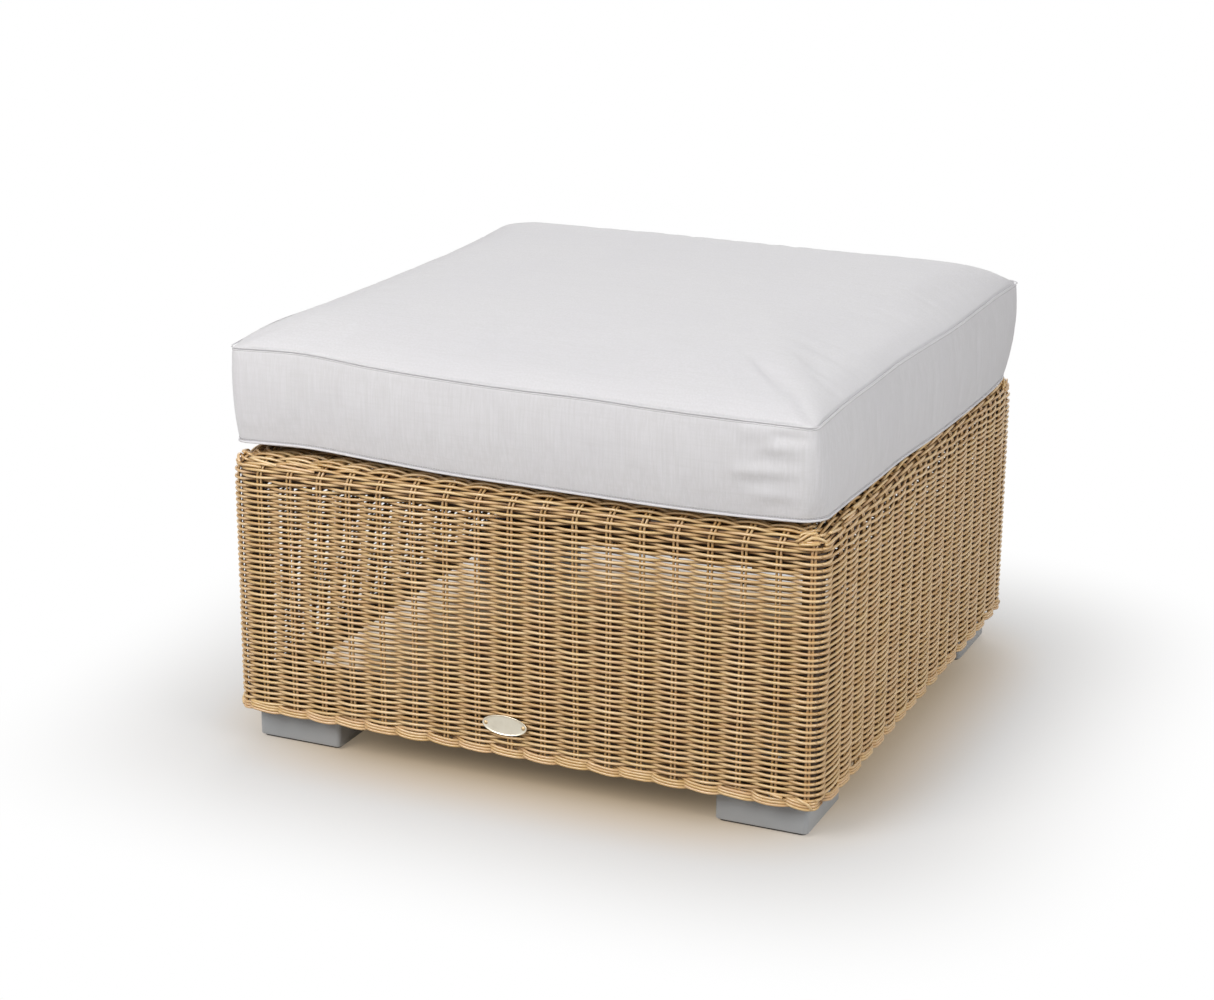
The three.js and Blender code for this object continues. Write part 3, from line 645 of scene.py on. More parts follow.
def square_grid(cells):
    """The points of a square grid, from -1 to 1 both ways."""
    index = np.arange(cells + 1) / cells * 2 - 1
    return np.meshgrid(index, index, indexing="ij")


def grid_places(x, y):
    """Where each point of a square grid lies: its place round the square and its share of the
    way out from the middle."""
    share = np.maximum(np.abs(x), np.abs(y))
    safe = np.maximum(share, 1e-9)
    u, v = x / safe, y / safe
    low, high = -1 + 1e-9, 1 - 1e-9
    front, right, rear = (v <= low) & (u < high), (u >= high) & (v < high), (v >= high) & (u > low)
    places = (u + 1) / 2, 1 + (v + 1) / 2, 2 + (1 - u) / 2
    place = np.select((front, right, rear), places, 3 + (1 - v) / 2)
    return place / 4 % 1.0, share


def panel_points(cells, seam_share, rise, inset):
    """A grid of points of a panel, crowned between its seams."""
    x, y = square_grid(cells)
    place, share = grid_places(x, y)
    rim, _ = boxing_line(place, seam_share, inset)
    crown = 0.7 * (1 - x ** 24) * (1 - y ** 24) + 0.3 * (1 - share ** 2.6)
    middle = (BOTTOM_SEAM if seam_share else TOP_SEAM) + rise
    height = rim[..., 2] + (middle - rim[..., 2]) * crown
    height = height + (inset if seam_share else -inset)
    return np.concatenate([rim[..., :2] * share[..., None], height[..., None]], axis=-1)


def grid_quads(number):
    """The quads of a grid, from the numbers of its points."""
    corners = number[:-1, :-1], number[1:, :-1], number[1:, 1:], number[:-1, 1:]
    return stacked(*corners).reshape(-1, 4)


def cushion_arrays(cells, rows, inset=0.0):
    """Points and quads of a closed cushion, and the numbers of the points in each ring of its
    boxing, from the top seam to the bottom seam."""
    count = cells + 1
    number = np.arange(count * count).reshape(count, count)
    points = [
        panel_points(cells, 0.0, CROWN, inset).reshape(-1, 3),
        panel_points(cells, 1.0, REST_HEIGHT - BOTTOM_SEAM, inset).reshape(-1, 3),
    ]
    quads = [grid_quads(number), grid_quads(number + count * count)[:, [0, 3, 2, 1]]]

    rim = np.concatenate([number[:-1, 0], number[-1, :-1], number[:0:-1, -1], number[0, :0:-1]])
    around = np.arange(len(rim))
    rings = [rim]
    for row in range(1, rows):
        share = row / rows
        level, _ = boxing_line(around / len(rim), share, inset)
        level[:, 2] += inset * (2 * share - 1)
        rings.append(2 * count * count + (row - 1) * len(rim) + around)
        points.append(level)
    rings.append(rim + count * count)
    after = np.roll(around, -1)
    for upper, lower in zip(rings[:-1], rings[1:]):
        quads.append(stacked(upper, lower, lower[after], upper[after]))
    return np.concatenate(points), np.concatenate(quads), rings


def swell_cover(piece, pinned):
    """Lets the cover swell over its filling as cloth, held at its seams."""
    group = piece.vertex_groups.new(name="held")
    group.add([int(index) for index in pinned], 1.0, "REPLACE")
    cloth = piece.modifiers.new("swell", "CLOTH")
    settings = cloth.settings
    settings.quality = 6
    settings.mass = 0.25
    settings.tension_stiffness = 18
    settings.compression_stiffness = 18
    settings.shear_stiffness = 6
    settings.bending_stiffness = 0.6
    settings.shrink_min = -0.004
    settings.use_pressure = True
    settings.uniform_pressure_force = 4.0
    settings.vertex_group_mass = "held"
    settings.effector_weights.gravity = 0
    scene = bpy.context.scene
    for step in range(1, SWELL_FRAMES + 1):
        scene.frame_set(step)
    shaped = piece.evaluated_get(bpy.context.evaluated_depsgraph_get())
    places = np.empty(len(piece.data.vertices) * 3)
    shaped.data.vertices.foreach_get("co", places)
    piece.modifiers.remove(cloth)
    piece.vertex_groups.clear()
    scene.frame_set(1)
    return places.reshape(-1, 3) / MM


def held_back(start, end, most):
    """Moves from start to end, eased so that none is longer than the most."""
    move = end - start
    length = np.linalg.norm(move, axis=-1, keepdims=True)
    return start + move * (most * np.tanh(length / most) / np.maximum(length, 1e-9))


def make_cover():
    """The sewn cover: swollen over its filling, puckered at a corner and flat round the zip."""
    points, quads, rings = cushion_arrays(COVER_CELLS, COVER_ROWS)
    piece = add_object("cushion_cover_fabric", quad_mesh("cushion_cover_fabric", points, quads))
    seams = np.unique(np.concatenate([rings[0], rings[-1]]))
    points = held_back(points, swell_cover(piece, seams), MOST_SWELL)
    points = flatten_for_zip(pucker(points))
    points[:, 2] = np.maximum(points[:, 2], REST_HEIGHT)
    piece.data.vertices.foreach_set("co", (points * MM).ravel())
    mark_seam(piece.data, rings[0])
    refine(piece)
    reshape(piece.data, crease_seam)
    piece.data.update()
    dress(piece, "cover_fabric", "cushion")
    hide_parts("cushion_cover")
    return piece


def make_foam():
    """The foam that fills the cover."""
    points, quads, _ = cushion_arrays(FOAM_CELLS, FOAM_ROWS, FOAM_INSET)
    foam = add_object("foam_block", quad_mesh("foam_block", points, quads))
    dress(foam, "foam", "cushion")
    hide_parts("foam_core")


# Puckers in the boxing: where each starts and ends along the front, its height, its width and
# how far it stands out or in.
PUCKERS = (
    (308, 236, 416, 9, 2.6), (310, 268, 409.5, 4.5, -4.0), (310, 262, 402, 7, 3.0),
    (306, 250, 388, 8, -1.6), (308, 228, 376, 7, 2.6), (308, 240, 367, 7, -1.8),
    (306, 250, 352, 6, 1.4), (306, 260, 343, 6, -1.2),
)
PUCKER_SLOPE = 0.04


def pucker(points):
    """Folds the front boxing beside its right corner, where it was gathered."""
    moved = points.copy()
    x, y, z = points.T
    on_front = (y < 35 - CUSHION_HALF) & (z > BOTTOM_SEAM - 4) & (z < TOP_SEAM - 2)
    for start, end, height, width, reach in PUCKERS:
        share = np.clip((x - end) / (start - end), 0, 1)
        along = np.sin(math.pi * np.sqrt(share)) ** 1.2
        middle = height + PUCKER_SLOPE * (x - start)
        across = np.exp(-((z - middle) / width) ** 2 * 2)
        moved[:, 1] -= np.where(on_front, reach * along * across, 0)
    return moved


def flatten_for_zip(points):
    """Holds the rear boxing flat and behind the zip's tape."""
    moved = points.copy()
    beside = eased_step(np.abs(points[:, 2] - ZIP_HEIGHT), *FLAT_HEIGHTS)
    beyond = eased_step(np.abs(points[:, 0]) - ZIP_HALF, *FLAT_ENDS)
    limit = ZIP_GROUND + FLAT_GIVE * np.maximum(beside, beyond)
    on_rear = points[:, 1] > CUSHION_HALF - 25
    moved[:, 1] = np.where(on_rear, np.minimum(points[:, 1], limit), points[:, 1])
    return moved


def mark_seam(mesh, ring):
    """Marks the edges between neighbouring points of a ring as a seam."""
    pairs = {frozenset(pair) for pair in zip(ring.tolist(), np.roll(ring, -1).tolist())}
    for edge in mesh.edges:
        edge.use_seam = frozenset(edge.vertices) in pairs


def refine(piece):
    """Subdivides the piece once, smoothly."""
    finer = piece.modifiers.new("finer", "SUBSURF")
    finer.levels = 1
    finer.render_levels = 1
    shaped = piece.evaluated_get(bpy.context.evaluated_depsgraph_get())
    mesh = bpy.data.meshes.new_from_object(shaped)
    piece.modifiers.remove(finer)
    old = piece.data
    piece.data = mesh
    mesh.name = old.name.split(".")[0]
    bpy.data.meshes.remove(old)


def crease_seam(shape):
    """Cuts a narrow groove along the top seam, where the panels are drawn together."""
    seams = [edge for edge in shape.edges if edge.seam]
    cut = bmesh.ops.bevel(
        shape, geom=seams, offset=GROOVE_WIDTH * MM, segments=4, profile=0.5, affect="EDGES",
    )
    shape.normal_update()
    strip = set(cut["faces"])
    for vert in {vert for face in strip for vert in face.verts}:
        if all(face in strip for face in vert.link_faces):
            vert.co -= vert.normal * GROOVE_DEPTH * MM
    for face in shape.faces:
        face.smooth = True


def surface_of(piece):
    """A finder of the nearest point of a piece, and of its outward direction there."""
    tree = BVHTree.FromObject(piece, bpy.context.evaluated_depsgraph_get())

    def nearest(place):
        spot, normal, _, _ = tree.find_nearest(Vector(place) * MM)
        return np.array(spot) / MM, np.array(normal)

    return nearest


def even_places(line, spacing):
    """Points at an even spacing along a closed line of points, with their directions."""
    closed = np.concatenate([line, line[:1]])
    lengths = np.concatenate([[0], np.cumsum(np.linalg.norm(np.diff(closed, axis=0), axis=1))])
    count = int(lengths[-1] / spacing)
    at = np.arange(count) * lengths[-1] / count
    spots = stacked(*(np.interp(at, lengths, closed[:, axis]) for axis in range(3)))
    return spots, unit(np.roll(spots, -1, axis=0) - spots)


def stitches(name, nearest, line, spacing, length, radius):
    """Short raised stitches along a line, laid on the cover."""
    paths, facings = [], []
    share = np.array([-0.5, -0.36, 0.0, 0.36, 0.5])
    lift = np.array([-0.5, 0.15, 0.4, 0.15, -0.5]) * radius
    for spot, direction in zip(*even_places(line, spacing)):
        middle, normal = nearest(spot)
        paths.append(middle + np.outer(share, direction) * length + np.outer(lift, normal))
        facings.append(np.tile(normal, (len(share), 1)))
    strands = np.array(paths), np.array(facings), np.zeros_like(paths)
    tube_piece(name, radius, 6, strands, "thread", "cushion")


def beside_seam(place, share, out, up):
    """A line beside a seam, by how far it lies outward and upward of it."""
    line, outward = boxing_line(place, share)
    line[:, :2] += outward * out
    line[:, 2] += up
    return line


def seam_lip(name, share, radius, out, up):
    """The thin rolled edge of the seam allowance that stands out along a seam."""
    line = beside_seam(np.linspace(0, 1, 521), share, out, up)
    tube_piece(name, radius, 8, plain_strands(line[None], 2), "cover_fabric", "cushion")


def make_seams(cover):
    """Stitches and a thin lip along the top and the bottom seam."""
    nearest = surface_of(cover)
    place = np.linspace(0, 1, 800, endpoint=False)
    # The stitches' grey thread finish is painted shade of their needle holes.
    for name, share, up in (("top", 0.0, -2.6), ("bottom", 1.0, 3.4)):
        stitches(f"{name}_seam_stitches", nearest, beside_seam(place, share, 0.5, up), 2.9, 1.9, 0.3)
    seam_lip("bottom_seam_lip", 1.0, 1.3, 0.1, 0.3)
    seam_lip("top_seam_lip", 0.0, 0.7, 0.3, 0.1)


def bevelled(piece, width, segments, angle=30.0):
    """Rounds the edges of a piece that are sharper than an angle."""
    limit = math.radians(angle)

    def bevel(shape):
        sharp = [edge for edge in shape.edges if edge.is_manifold and edge.calc_face_angle(0.0) > limit]
        bmesh.ops.bevel(
            shape, geom=sharp, offset=width * MM, segments=segments, profile=0.5, affect="EDGES",
        )
        for face in shape.faces:
            face.smooth = True

    reshape(piece.data, bevel)
    piece.data.set_sharp_from_angle(angle=math.radians(40.0))


def make_zip():
    """The zip in the rear boxing, with the fabric that is folded back beside it."""
    make_tape()
    make_coil()
    make_lips()
    make_tacks()
    make_slider()


def make_tape():
    """The tape, a closed strip that carries the coil."""
    section = [
        (ZIP_FRONT + depth, ZIP_HEIGHT + hand * TAPE_HALF_HEIGHT)
        for depth, hand in ((0, -1), (TAPE_THICKNESS, -1), (TAPE_THICKNESS, 1), (0, 1))
    ]
    rings = [[(x, y, z) for y, z in section] for x in np.linspace(-ZIP_HALF, ZIP_HALF, 49)]
    tape = ring_solid("zip_tape_strip", rings)
    bevelled(tape, 0.2, 2)
    dress(tape, "zip_tape", "cushion")
    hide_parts("zip_tape")


def make_coil():
    """Two rows of moulded coil that mesh along the middle of the tape."""
    reach = ZIP_HALF - COIL_START
    turns = 2 * reach / COIL_PITCH
    angle = np.linspace(0, turns * 2 * math.pi, int(turns * 9))
    x = -reach + COIL_PITCH * angle / (2 * math.pi)
    paths = np.array([
        stacked(
            x,
            ZIP_FRONT + 0.85 + 0.45 * np.sin(angle + phase),
            ZIP_HEIGHT + hand * (0.9 + 1.25 * np.cos(angle + phase)),
        )
        for hand, phase in ((-1, math.pi), (1, 0.0))
    ])
    tube_piece("zip_coil", COIL_RADIUS, COIL_SIDES, plain_strands(paths, 0), "coil", "cushion")


def make_lips():
    """The fabric folded back above and below the tape: long flattened rolls."""
    x = np.linspace(-ZIP_HALF - 1.0, ZIP_HALF + 1.0, 97)
    angles = round_angles(10)
    section = stacked(0, LIP_HALF_DEPTH * np.cos(angles), LIP_HALF_HEIGHT * np.sin(angles))
    for hand, word in ((-1, "lower"), (1, "upper")):
        stray = 0.25 * np.sin(x / 17.0 + hand) + 0.2 * np.sin(x / 6.1 + 2 * hand)
        middle = stacked(x, ZIP_FRONT + 0.2, ZIP_HEIGHT + hand * LIP_RISE + stray)
        lip = ring_solid(f"{word}_zip_lip", middle[:, None, :] + section)
        dress(lip, "cover_fabric", "cushion")


def make_tacks():
    """A bar tack at each end of the zip: stitches side by side across it."""
    heights = ZIP_HEIGHT + np.linspace(-TACK_HALF, TACK_HALF, 15)
    share = np.array([-1.0, -0.6, 0.6, 1.0])
    for end, word in ((-1, "left"), (1, "right")):
        middles = stacked(end * (ZIP_HALF - 2.2), ZIP_FRONT + 0.9, heights)
        paths = middles[:, None, :] + share[:, None] * np.array([1.3, 0, 0.1])
        paths[:, (0, -1), 1] -= 0.4
        strands = plain_strands(paths, 1)
        # The tacks' grey thread finish is painted shade.
        tube_piece(f"zip_bar_tack_{word}", TACK_RADIUS, 6, strands, "thread", "cushion")


# The slider's outline seen from behind, as shares of half its length and of half its height.
SLIDER_OUTLINE = (
    (-1.0, -0.62), (-0.45, -1.0), (0.55, -1.0), (1.0, -0.7),
    (1.0, 0.7), (0.55, 1.0), (-0.45, 1.0), (-1.0, 0.62),
)


def node_box(node):
    """A node's lowest and highest corners, its middle and half its size, in millimetres."""
    low, high = (np.array(corner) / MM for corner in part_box(node))
    return low, high, (low + high) / 2, (high - low) / 2


def make_slider():
    """The zip's slider: a shield-shaped plate with a low bridge over it."""
    low, high, centre, half = node_box("zip_slider")
    front = low[1] + SLIDER_PLATE
    plate = ring_solid("zip_slider_plate", [
        [(centre[0] + half[0] * u, y, centre[2] + half[2] * v) for u, v in SLIDER_OUTLINE]
        for y in (low[1], front)
    ])
    bevelled(plate, 0.45, 3)
    dress(plate, "steel", "zip_runner")
    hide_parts("zip_slider")
    top = high[1] - 0.5
    course = np.array([
        (-0.62, front - 0.4), (-0.55, front + 0.35), (-0.2, top),
        (0.25, top), (0.6, front + 0.35), (0.68, front - 0.4),
    ])
    fine = np.linspace(0, len(course) - 1, 21)
    u, y = (np.interp(fine, np.arange(len(course)), values) for values in course.T)
    path = stacked(centre[0] + half[0] * u, y, centre[2])
    tube_piece("zip_slider_bridge", 0.5, 8, plain_strands(path[None], 2), "steel", "zip_runner")


# Sections of the plate and of a rivet, from the middle of the front over the rim to the back:
# the reach of each ring and how far forward it lies, as shares. The rivets' heads stand on the
# plate's field, and the shank's reach is a share of the head's.
PLATE_PROFILE = (
    (0.03, 0.30), (0.30, 0.30), (0.62, 0.32), (0.84, 0.38), (0.90, 0.46), (0.94, 0.80),
    (0.965, 0.95), (0.985, 0.92), (1.0, 0.6), (0.995, 0.2), (0.97, 0.0), (0.5, 0.0),
)
RIVET_PROFILE = (
    (0.12, 1.0), (0.4, 0.93), (0.68, 0.75), (0.88, 0.48), (0.98, 0.2), (1.0, 0.0), (0.55, -0.2),
)
PLATE_FIELD = 0.3
PLATE_STEPS = 96
RIVET_STEPS = 32
SHANK = 0.55


def oval_solid(name, centre, half_x, half_z, profile, steps):
    """A closed piece of oval rings about a line along y, each with its reach and its place."""
    angles = round_angles(steps)
    return ring_solid(name, [
        stacked(centre[0] + half_x * reach * np.cos(angles), y, centre[2] + half_z * reach * np.sin(angles))
        for reach, y in profile
    ])


def make_plate():
    """The bare oval plate: slightly dished inside a rolled rim, with a domed rivet at each
    end."""
    low, high, centre, half = node_box("oval_plate")
    thickness = high[1] - low[1]
    profile = [(reach, high[1] - thickness * rise) for reach, rise in PLATE_PROFILE]
    plate = oval_solid("oval_plate_pressed", centre, half[0], half[2], profile, PLATE_STEPS)
    dress(plate, "plate", "base")
    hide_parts("oval_plate")
    for side in ("left", "right"):
        make_rivet(side, high[1] - thickness * PLATE_FIELD)


def make_rivet(side, face):
    """A rivet whose head stands on the plate's face and whose shank goes through it."""
    low, high, centre, half = node_box(f"plate_rivet_{side}")
    profile = [(reach, face - (face - low[1]) * lift) for reach, lift in RIVET_PROFILE]
    profile.append((SHANK, high[1]))
    rivet = oval_solid(f"plate_rivet_{side}_domed", centre, half[0], half[0], profile, RIVET_STEPS)
    dress(rivet, "rivet", "base")
    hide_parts(f"plate_rivet_{side}")


def merge_flat_faces(shape):
    bmesh.ops.remove_doubles(shape, verts=shape.verts, dist=1e-6)
    bmesh.ops.dissolve_limit(shape, angle_limit=math.radians(1.0), verts=shape.verts, edges=shape.edges)


def copy_bevelled(node, name, finish, width, segments):
    """A bevelled copy of a node of the frame, in its place."""
    copy = add_object(name, frame["nodes"][node].data.copy())
    reshape(copy.data, merge_flat_faces)
    bevelled(copy, width, segments, 40.0)
    dress(copy, finish, "base")
    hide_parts(node)


def make_feet():
    """The block feet and the pads under them."""
    for corner in CORNERS:
        copy_bevelled(f"foot_{corner}", f"foot_block_{corner}", "foot", 1.2, 3)
        copy_bevelled(f"glide_{corner}", f"glide_pad_{corner}", "glide", 0.4, 2)


def colour(red, green, blue):
    """A linear colour from one as it looks on a screen, each part from 0 to 255."""
    parts = (value / 255 for value in (red, green, blue))
    return tuple(p / 12.92 if p <= 0.04045 else ((p + 0.055) / 1.055) ** 2.4 for p in parts) + (1.0,)


class Graph:
    """The nodes of a new material or world, with short calls that add one node each and return
    its output."""

    def __init__(self, name, world=False):
        self.owner = (bpy.data.worlds if world else bpy.data.materials).new(name)
        self.owner.use_nodes = True
        self.nodes = self.owner.node_tree.nodes
        self.links = self.owner.node_tree.links
        self.output = next(node for node in self.nodes if node.name.endswith("Output"))
        self.shader = next(node for node in self.nodes if node != self.output)

    def put(self, value, socket):
        if isinstance(value, bpy.types.NodeSocket):
            self.links.new(value, socket)
        else:
            socket.default_value = value

    def add(self, kind, inputs=(), **settings):
        """Adds a node with its settings, and fills its inputs in order or by name."""
        node = self.nodes.new("ShaderNode" + kind)
        for name, value in settings.items():
            setattr(node, name, value)
        for key, value in inputs.items() if isinstance(inputs, dict) else enumerate(inputs):
            self.put(value, node.inputs[key])
        return node

    def attribute(self, name):
        return self.add("Attribute", attribute_name=name).outputs["Vector"]

    def place(self):
        return self.add("TexCoord").outputs["Object"]

    def split(self, vector):
        return self.add("SeparateXYZ", (vector,)).outputs

    def vector_math(self, operation, *inputs):
        return self.add("VectorMath", inputs, operation=operation).outputs

    def stretched(self, vector, scale):
        return self.vector_math("MULTIPLY", vector, scale)[0]

    def noise(self, vector, scale, detail=3.0, rough=0.6):
        inputs = {"Vector": vector, "Scale": scale, "Detail": detail, "Roughness": rough}
        return self.add("TexNoise", inputs).outputs["Fac"]

    def cells(self, vector, scale):
        return self.add("TexVoronoi", {"Vector": vector, "Scale": scale}).outputs["Distance"]

    def math(self, operation, *inputs):
        return self.add("Math", inputs, operation=operation).outputs[0]

    def ribs(self, value, density):
        """Rounded ribs across a value, from 0 in the grooves to 1."""
        return self.math("ABSOLUTE", self.math("SINE", self.math("MULTIPLY", value, density)))

    def ranged(self, value, low, high, to_low=0.0, to_high=1.0, eased=False):
        kind = "SMOOTHSTEP" if eased else "LINEAR"
        inputs = (value, low, high, to_low, to_high)
        return self.add("MapRange", inputs, interpolation_type=kind).outputs[0]

    def mixed(self, share, first, second):
        node = self.add("Mix", data_type="RGBA")
        sockets = {socket.identifier: socket for socket in (*node.inputs, *node.outputs)}
        for name, value in (("Factor_Float", share), ("A_Color", first), ("B_Color", second)):
            self.put(value, sockets[name])
        return sockets["Result_Color"]

    def tinged(self, base, value, low, high, most, tint):
        """A base colour, of which a share goes over to a tint as a value goes from low to high."""
        return self.mixed(self.ranged(value, low, high, 0.0, most), base, colour(*tint))

    def bump(self, height, strength, distance):
        node = self.add("Bump", {"Strength": strength, "Distance": distance, "Height": height})
        self.put(node.outputs[0], self.shader.inputs["Normal"])

    def finish(self, base, roughness, **constants):
        """Fills the shader: its base colour, its roughness and its constant inputs."""
        self.put(base, self.shader.inputs["Base Color"])
        self.put(roughness, self.shader.inputs["Roughness"])
        for name, value in constants.items():
            self.shader.inputs[name.replace("_", " ")].default_value = value
        return self.owner

    def show(self, shown, share=1.0):
        """Shows a second shader, in a share of it, to the eye and in gloss and glass. The first
        one still meets all other light."""
        path = self.add("LightPath").outputs
        seen = self.math("MAXIMUM", path["Is Camera Ray"], path["Is Glossy Ray"])
        seen = self.math("MAXIMUM", seen, path["Is Transmission Ray"])
        inputs = (self.math("MULTIPLY", seen, share), self.shader.outputs[0], shown.outputs[0])
        self.put(self.add("MixShader", inputs).outputs[0], self.output.inputs[0])


def skin_depth(g):
    """How deep a point lies under the skin of the walls and their rolled edge, in metres, for the strands'
    painted shade. It counts as nothing on the deck inside the rim."""
    core = g.vector_math("ABSOLUTE", g.place())[0]
    side = STRAIGHT * MM
    past = g.vector_math("SUBTRACT", core, (side, side, (BODY_TOP - ROLL_RADIUS) * MM))[0]
    reach = g.vector_math("LENGTH", g.vector_math("MAXIMUM", past, (0, 0, 0))[0])["Value"]
    depth = g.math("SUBTRACT", ROLL_RADIUS * MM, reach)
    x, y, _ = g.split(core)
    rim = DECK_HALF * MM
    return g.math("MULTIPLY", depth, g.ranged(g.math("MAXIMUM", x, y), rim - 0.004, rim + 0.004))


def strand_material():
    """Round plastic strand in natural cane tones: fine streaks along it, each strand a little lighter,
    pinker or yellower than the next, and painted dark brown shade, in its colour and in the tint of its
    gloss, where it lies deep in the weave."""
    g = Graph("strand_finish")
    tone, warmth, _ = g.split(g.attribute("tint"))
    lay = g.attribute("lay")
    streak = g.noise(g.stretched(lay, (1.2, 3.2, 3.2)), 1.6, 4.0, 0.6)
    patch = g.noise(g.stretched(lay, (1.6, 0.4, 0.4)), 1.0, 2.0, 0.5)
    base = g.mixed(tone, colour(204, 165, 106), colour(236, 205, 152))
    base = g.tinged(base, warmth, 0.6, 1.0, 0.5, (222, 182, 140))
    base = g.tinged(base, warmth, 0.4, 0.0, 0.5, (210, 176, 106))
    base = g.tinged(base, streak, 0.42, 0.62, 0.45, (172, 126, 72))
    base = g.tinged(base, patch, 0.5, 0.75, 0.4, (238, 210, 162))
    # Painted shade: colour and gloss tint go over to dark brown where the strand lies deep under the skin,
    # standing in for the shade between strands.
    painted_deep_shade = g.ranged(skin_depth(g), 0.0022, 0.0068, 0.0, 0.88)
    base = g.mixed(painted_deep_shade, base, colour(88, 44, 10))
    g.put(g.mixed(painted_deep_shade, colour(255, 255, 255), colour(96, 52, 16)), g.shader.inputs["Specular Tint"])
    g.bump(streak, 0.3, 0.0003)
    return g.finish(base, g.ranged(streak, 0.3, 0.7, 0.3, 0.42), Specular_IOR_Level=1.0)


# The spacing of the fabric's threads in metres, and how fast the ribs of sewing thread and of
# zip tape follow each other, in radians for each metre.
THREAD_PITCH = 0.0009
PLY_DENSITY = 9000.0
TAPE_DENSITY = 4200.0


def fabric_material():
    """Off-white outdoor fabric in a plain weave with uneven thread, lines of which show faintly up and down
    the boxing. It is darker in the grooves between threads, as painted shade."""
    g = Graph("fabric_finish")
    place = g.place()
    x, y, z = g.split(place)
    facing = g.split(g.add("NewGeometry").outputs["Normal"])
    up = g.ranged(g.math("ABSOLUTE", facing[2]), 0.55, 0.75)
    sideways = g.ranged(g.math("ABSOLUTE", facing[0]), 0.6, 0.8)

    def ribs(value):
        return g.ribs(value, 2 * math.pi / THREAD_PITCH)

    def chosen(share, first, second):
        kept = g.math("MULTIPLY", first, g.math("SUBTRACT", 1.0, share))
        return g.math("ADD", kept, g.math("MULTIPLY", second, share))

    across = chosen(sideways, ribs(x), ribs(y))
    level = chosen(up, ribs(z), ribs(y))
    upright = chosen(up, across, ribs(x))
    weave = g.math("MULTIPLY", level, upright)
    slub = g.noise(g.stretched(place, (1.0, 1.0, 0.04)), 520.0, 3.0, 0.6)
    weft = g.noise(g.stretched(place, (0.05, 1.0, 1.0)), 380.0, 2.0, 0.6)
    cloud = g.noise(place, 9.0, 4.0, 0.6)
    base = g.mixed(g.ranged(slub, 0.38, 0.66), colour(221, 220, 222), colour(228, 227, 230))
    base = g.tinged(base, weft, 0.45, 0.75, 0.35, (215, 214, 215))
    base = g.tinged(base, cloud, 0.4, 0.7, 0.25, (218, 217, 222))
    # Painted shade: darker grey where the weave's threads dip into their grooves.
    base = g.mixed(g.ranged(weave, 0.0, 0.25, 0.22, 0.0), base, colour(186, 185, 187))
    height = g.math("ADD", g.math("MULTIPLY", weave, 0.6), g.math("MULTIPLY", slub, 0.25))
    g.bump(height, 0.4, 0.0003)
    return g.finish(base, g.ranged(slub, 0.3, 0.7, 0.82, 0.95), Sheen_Weight=0.2, Sheen_Roughness=0.5)


def clouded(g, share, tint, deep, low=0.35):
    """Two close tones, mixed in soft clouds."""
    return g.mixed(g.ranged(share, low, 0.7), colour(*tint), colour(*deep))


def coated_material(name, tint, deep, rough):
    """Powder coat: a fine orange peel, and a trace of cloudiness."""
    g = Graph(name)
    cloud = g.noise(g.place(), 14.0)
    g.bump(g.noise(g.place(), 900.0, 2.0, 0.5), 0.18, 0.0002)
    return g.finish(clouded(g, cloud, tint, deep), g.ranged(cloud, 0.3, 0.7, rough - 0.05, rough + 0.05))


def metal_material(name, tint, deep, rough, lines):
    """Bare metal with fine drawn lines."""
    g = Graph(name)
    drawn = g.noise(g.stretched(g.place(), lines), 900.0)
    base = clouded(g, g.noise(g.place(), 60.0), tint, deep)
    g.bump(drawn, 0.12, 0.0001)
    return g.finish(base, g.ranged(drawn, 0.3, 0.7, rough - 0.07, rough + 0.07), Metallic=1.0)


def plastic_material(name, tint, deep, grain, rough):
    """Moulded plastic with a fine even grain."""
    g = Graph(name)
    fine = g.noise(g.place(), grain)
    g.bump(fine, 0.3, 0.0002)
    return g.finish(clouded(g, fine, tint, deep), g.ranged(fine, 0.3, 0.7, rough - 0.06, rough + 0.06))


def foam_material():
    """Open-cell foam, darker in the pits of its cells as painted shade."""
    g = Graph("foam_finish")
    cells = g.cells(g.place(), 700.0)
    cloud = g.noise(g.place(), 20.0)
    base = clouded(g, cloud, (240, 232, 200), (232, 222, 186), 0.3)
    # Painted shade: darker in the pits of the cells.
    base = g.mixed(g.ranged(cells, 0.0, 0.35, 0.5, 0.0), base, colour(206, 194, 156))
    g.bump(cells, 0.6, 0.0006)
    return g.finish(base, g.ranged(cloud, 0.3, 0.7, 0.88, 0.96))


def shaded_thread_material():
    """Sewing thread, twisted in fine slanting plies. Its grey is painted shade of the needle holes beside
    the stitches, and it is darker still in the grooves between plies as painted shade.
    """
    g = Graph("thread_painted_shade_finish")
    x, y, z = g.split(g.place())
    slant = g.math("ADD", g.math("ADD", x, y), z)
    plies = g.ribs(slant, PLY_DENSITY)
    # Painted shade: grey thread, darker in the grooves between plies.
    base = g.mixed(plies, colour(158, 156, 156), colour(186, 184, 184))
    g.bump(plies, 0.3, 0.0001)
    return g.finish(base, g.ranged(plies, 0.0, 1.0, 0.55, 0.7))


def tape_material():
    """Woven zip tape with slanting ribs that meet in the middle, darker in the grooves between ribs as
    painted shade.
    """
    g = Graph("tape_finish")
    x, _, z = g.split(g.place())
    slant = g.math("ADD", x, g.math("ABSOLUTE", g.math("SUBTRACT", z, ZIP_HEIGHT * MM)))
    ribs = g.ribs(slant, TAPE_DENSITY)
    # Painted shade: darker grey in the grooves between ribs.
    base = g.mixed(ribs, colour(196, 196, 198), colour(222, 222, 224))
    g.bump(ribs, 0.4, 0.0003)
    return g.finish(base, g.ranged(ribs, 0.0, 1.0, 0.72, 0.85))


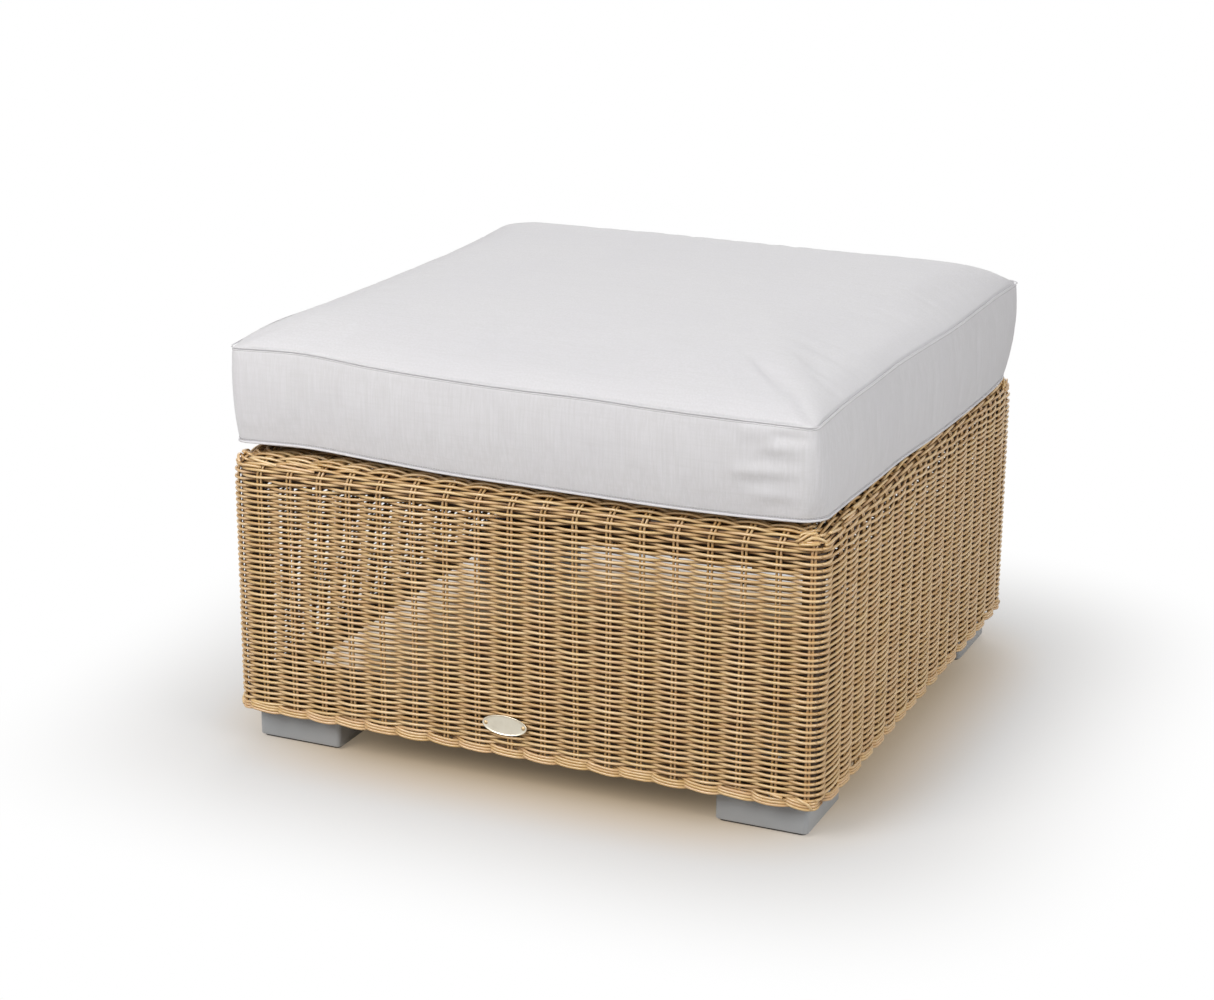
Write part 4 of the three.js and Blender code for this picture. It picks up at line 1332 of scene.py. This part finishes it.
finishes = {
    "strand": strand_material(),
    "cover_fabric": fabric_material(),
    "foot": coated_material("foot_finish", (168, 171, 174), (160, 164, 167), 0.42),
    "frame": coated_material("frame_finish", (89, 72, 58), (80, 64, 51), 0.5),
    "steel": metal_material("steel_finish", (196, 198, 200), (178, 180, 183), 0.32, (1, 1, 0.05)),
    "plate": metal_material("plate_finish", (226, 220, 204), (214, 207, 190), 0.38, (0.04, 1, 1)),
    "rivet": metal_material("rivet_finish", (196, 172, 136), (182, 156, 118), 0.42, (1, 1, 1)),
    "glide": plastic_material("glide_finish", (34, 34, 36), (44, 44, 46), 1200.0, 0.62),
    "foam": foam_material(),
    "zip_tape": tape_material(),
    "thread": shaded_thread_material(),
    "coil": plastic_material("coil_finish", (214, 214, 216), (204, 204, 207), 2000.0, 0.4),
}


def give(piece, finish):
    """Gives a piece one finish in place of those it has."""
    piece.data.materials.clear()
    piece.data.materials.append(finishes[finish])


def dress(piece, finish, body):
    """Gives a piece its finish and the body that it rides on."""
    give(piece, finish)
    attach(piece, body)


def dress_nodes():
    """Gives each node of the frame the finish of its slot."""
    for part in frame["record"]["subparts"]:
        give(frame["nodes"][part["node"]], part["material_slot"])


def make_stage():
    """A pale floor that keeps a soft shadow, with painted shade near and beneath the body, under a plain
    pale surround.
    """
    half = 6.0
    mesh = bpy.data.meshes.new("floor")
    corners = [(-half, -half, 0), (half, -half, 0), (half, half, 0), (-half, half, 0)]
    mesh.from_pydata(corners, [], [(0, 1, 2, 3)])
    floor = add_object("floor", mesh)
    floor.location.z = -0.0005
    floor.data.materials.append(floor_material())


def floor_material():
    """Pale, and plainly white away from the body. Near the body the floor is a little warmer, in its colour
    and in its glow: painted warm shade. Beneath it, and a little more to the left and the back, it is dark
    brown: painted shade, which only the weave's gaps let be seen."""
    g = Graph("floor_finish")

    def squarish_distance(middle_x, middle_y):
        x, y, _ = g.split(g.place())
        offsets = (g.math("SUBTRACT", x, middle_x), g.math("SUBTRACT", y, middle_y))
        fourths = [g.math("POWER", g.math("ABSOLUTE", offset), 4.0) for offset in offsets]
        return g.math("POWER", g.math("ADD", *fourths), 0.25)

    edge = BODY_HALF * MM
    away = squarish_distance(0.0, 0.0)
    # Painted shade: dark brown ground beneath the body.
    under = g.ranged(squarish_distance(-0.035, 0.04), edge - 0.13, edge - 0.085, 1.0, 0.0)
    white = g.ranged(away, edge - 0.15, edge + 0.32, eased=True)
    # Painted warm shade near the body, in the ground's colour and in its glow.
    plain = g.ranged(away, edge - 0.06, edge + 0.1, eased=True)
    ground = g.mixed(plain, colour(186, 163, 130), colour(190, 188, 186))
    glow = g.mixed(plain, colour(255, 230, 194), colour(255, 255, 255))
    g.show(g.add("Emission", {"Color": glow, "Strength": 1.0}), white)
    return g.finish(g.mixed(under, ground, colour(84, 46, 16)), 0.9)


def make_world():
    """A faint even light from all round, which looks white where it is seen."""
    g = Graph("surround", world=True)
    bpy.context.scene.world = g.owner
    g.put((1.0, 0.99, 0.98, 1.0), g.shader.inputs["Color"])
    g.put(0.1, g.shader.inputs["Strength"])
    g.show(g.add("Background", {"Color": (1, 1, 1, 1), "Strength": 1.0}))


# Square lamps that look at the middle of the stool: name, place, size, power and tint.
LAMP_AIM = (0.0, 0.0, 0.25)
LAMPS = (
    ("key_softbox", (-1.2, -2.6, 2.4), 1.8, 92.0, (1.0, 0.99, 0.98)),
    ("fill_softbox", (3.0, -1.0, 1.9), 1.8, 58.0, (1.0, 1.0, 1.0)),
    ("rear_softbox", (-1.0, 2.9, 1.9), 1.8, 40.0, (1.0, 1.0, 1.0)),
    ("top_softbox", (0.2, 0.2, 3.2), 2.2, 7.0, (1.0, 1.0, 1.0)),
)


def make_lights():
    for name, spot, size, power, tint in LAMPS:
        data = bpy.data.lights.new(name, "AREA")
        data.shape = "SQUARE"
        data.size = size
        data.energy = power
        data.color = tint
        lamp = add_object(name, data)
        lamp.location = spot
        lamp.rotation_euler = (Vector(LAMP_AIM) - Vector(spot)).to_track_quat("-Z", "Y").to_euler()


make_stage()
make_world()
make_lights()
dress_nodes()
make_weave()
make_feet()
make_plate()
make_foam()
make_seams(make_cover())
make_zip()
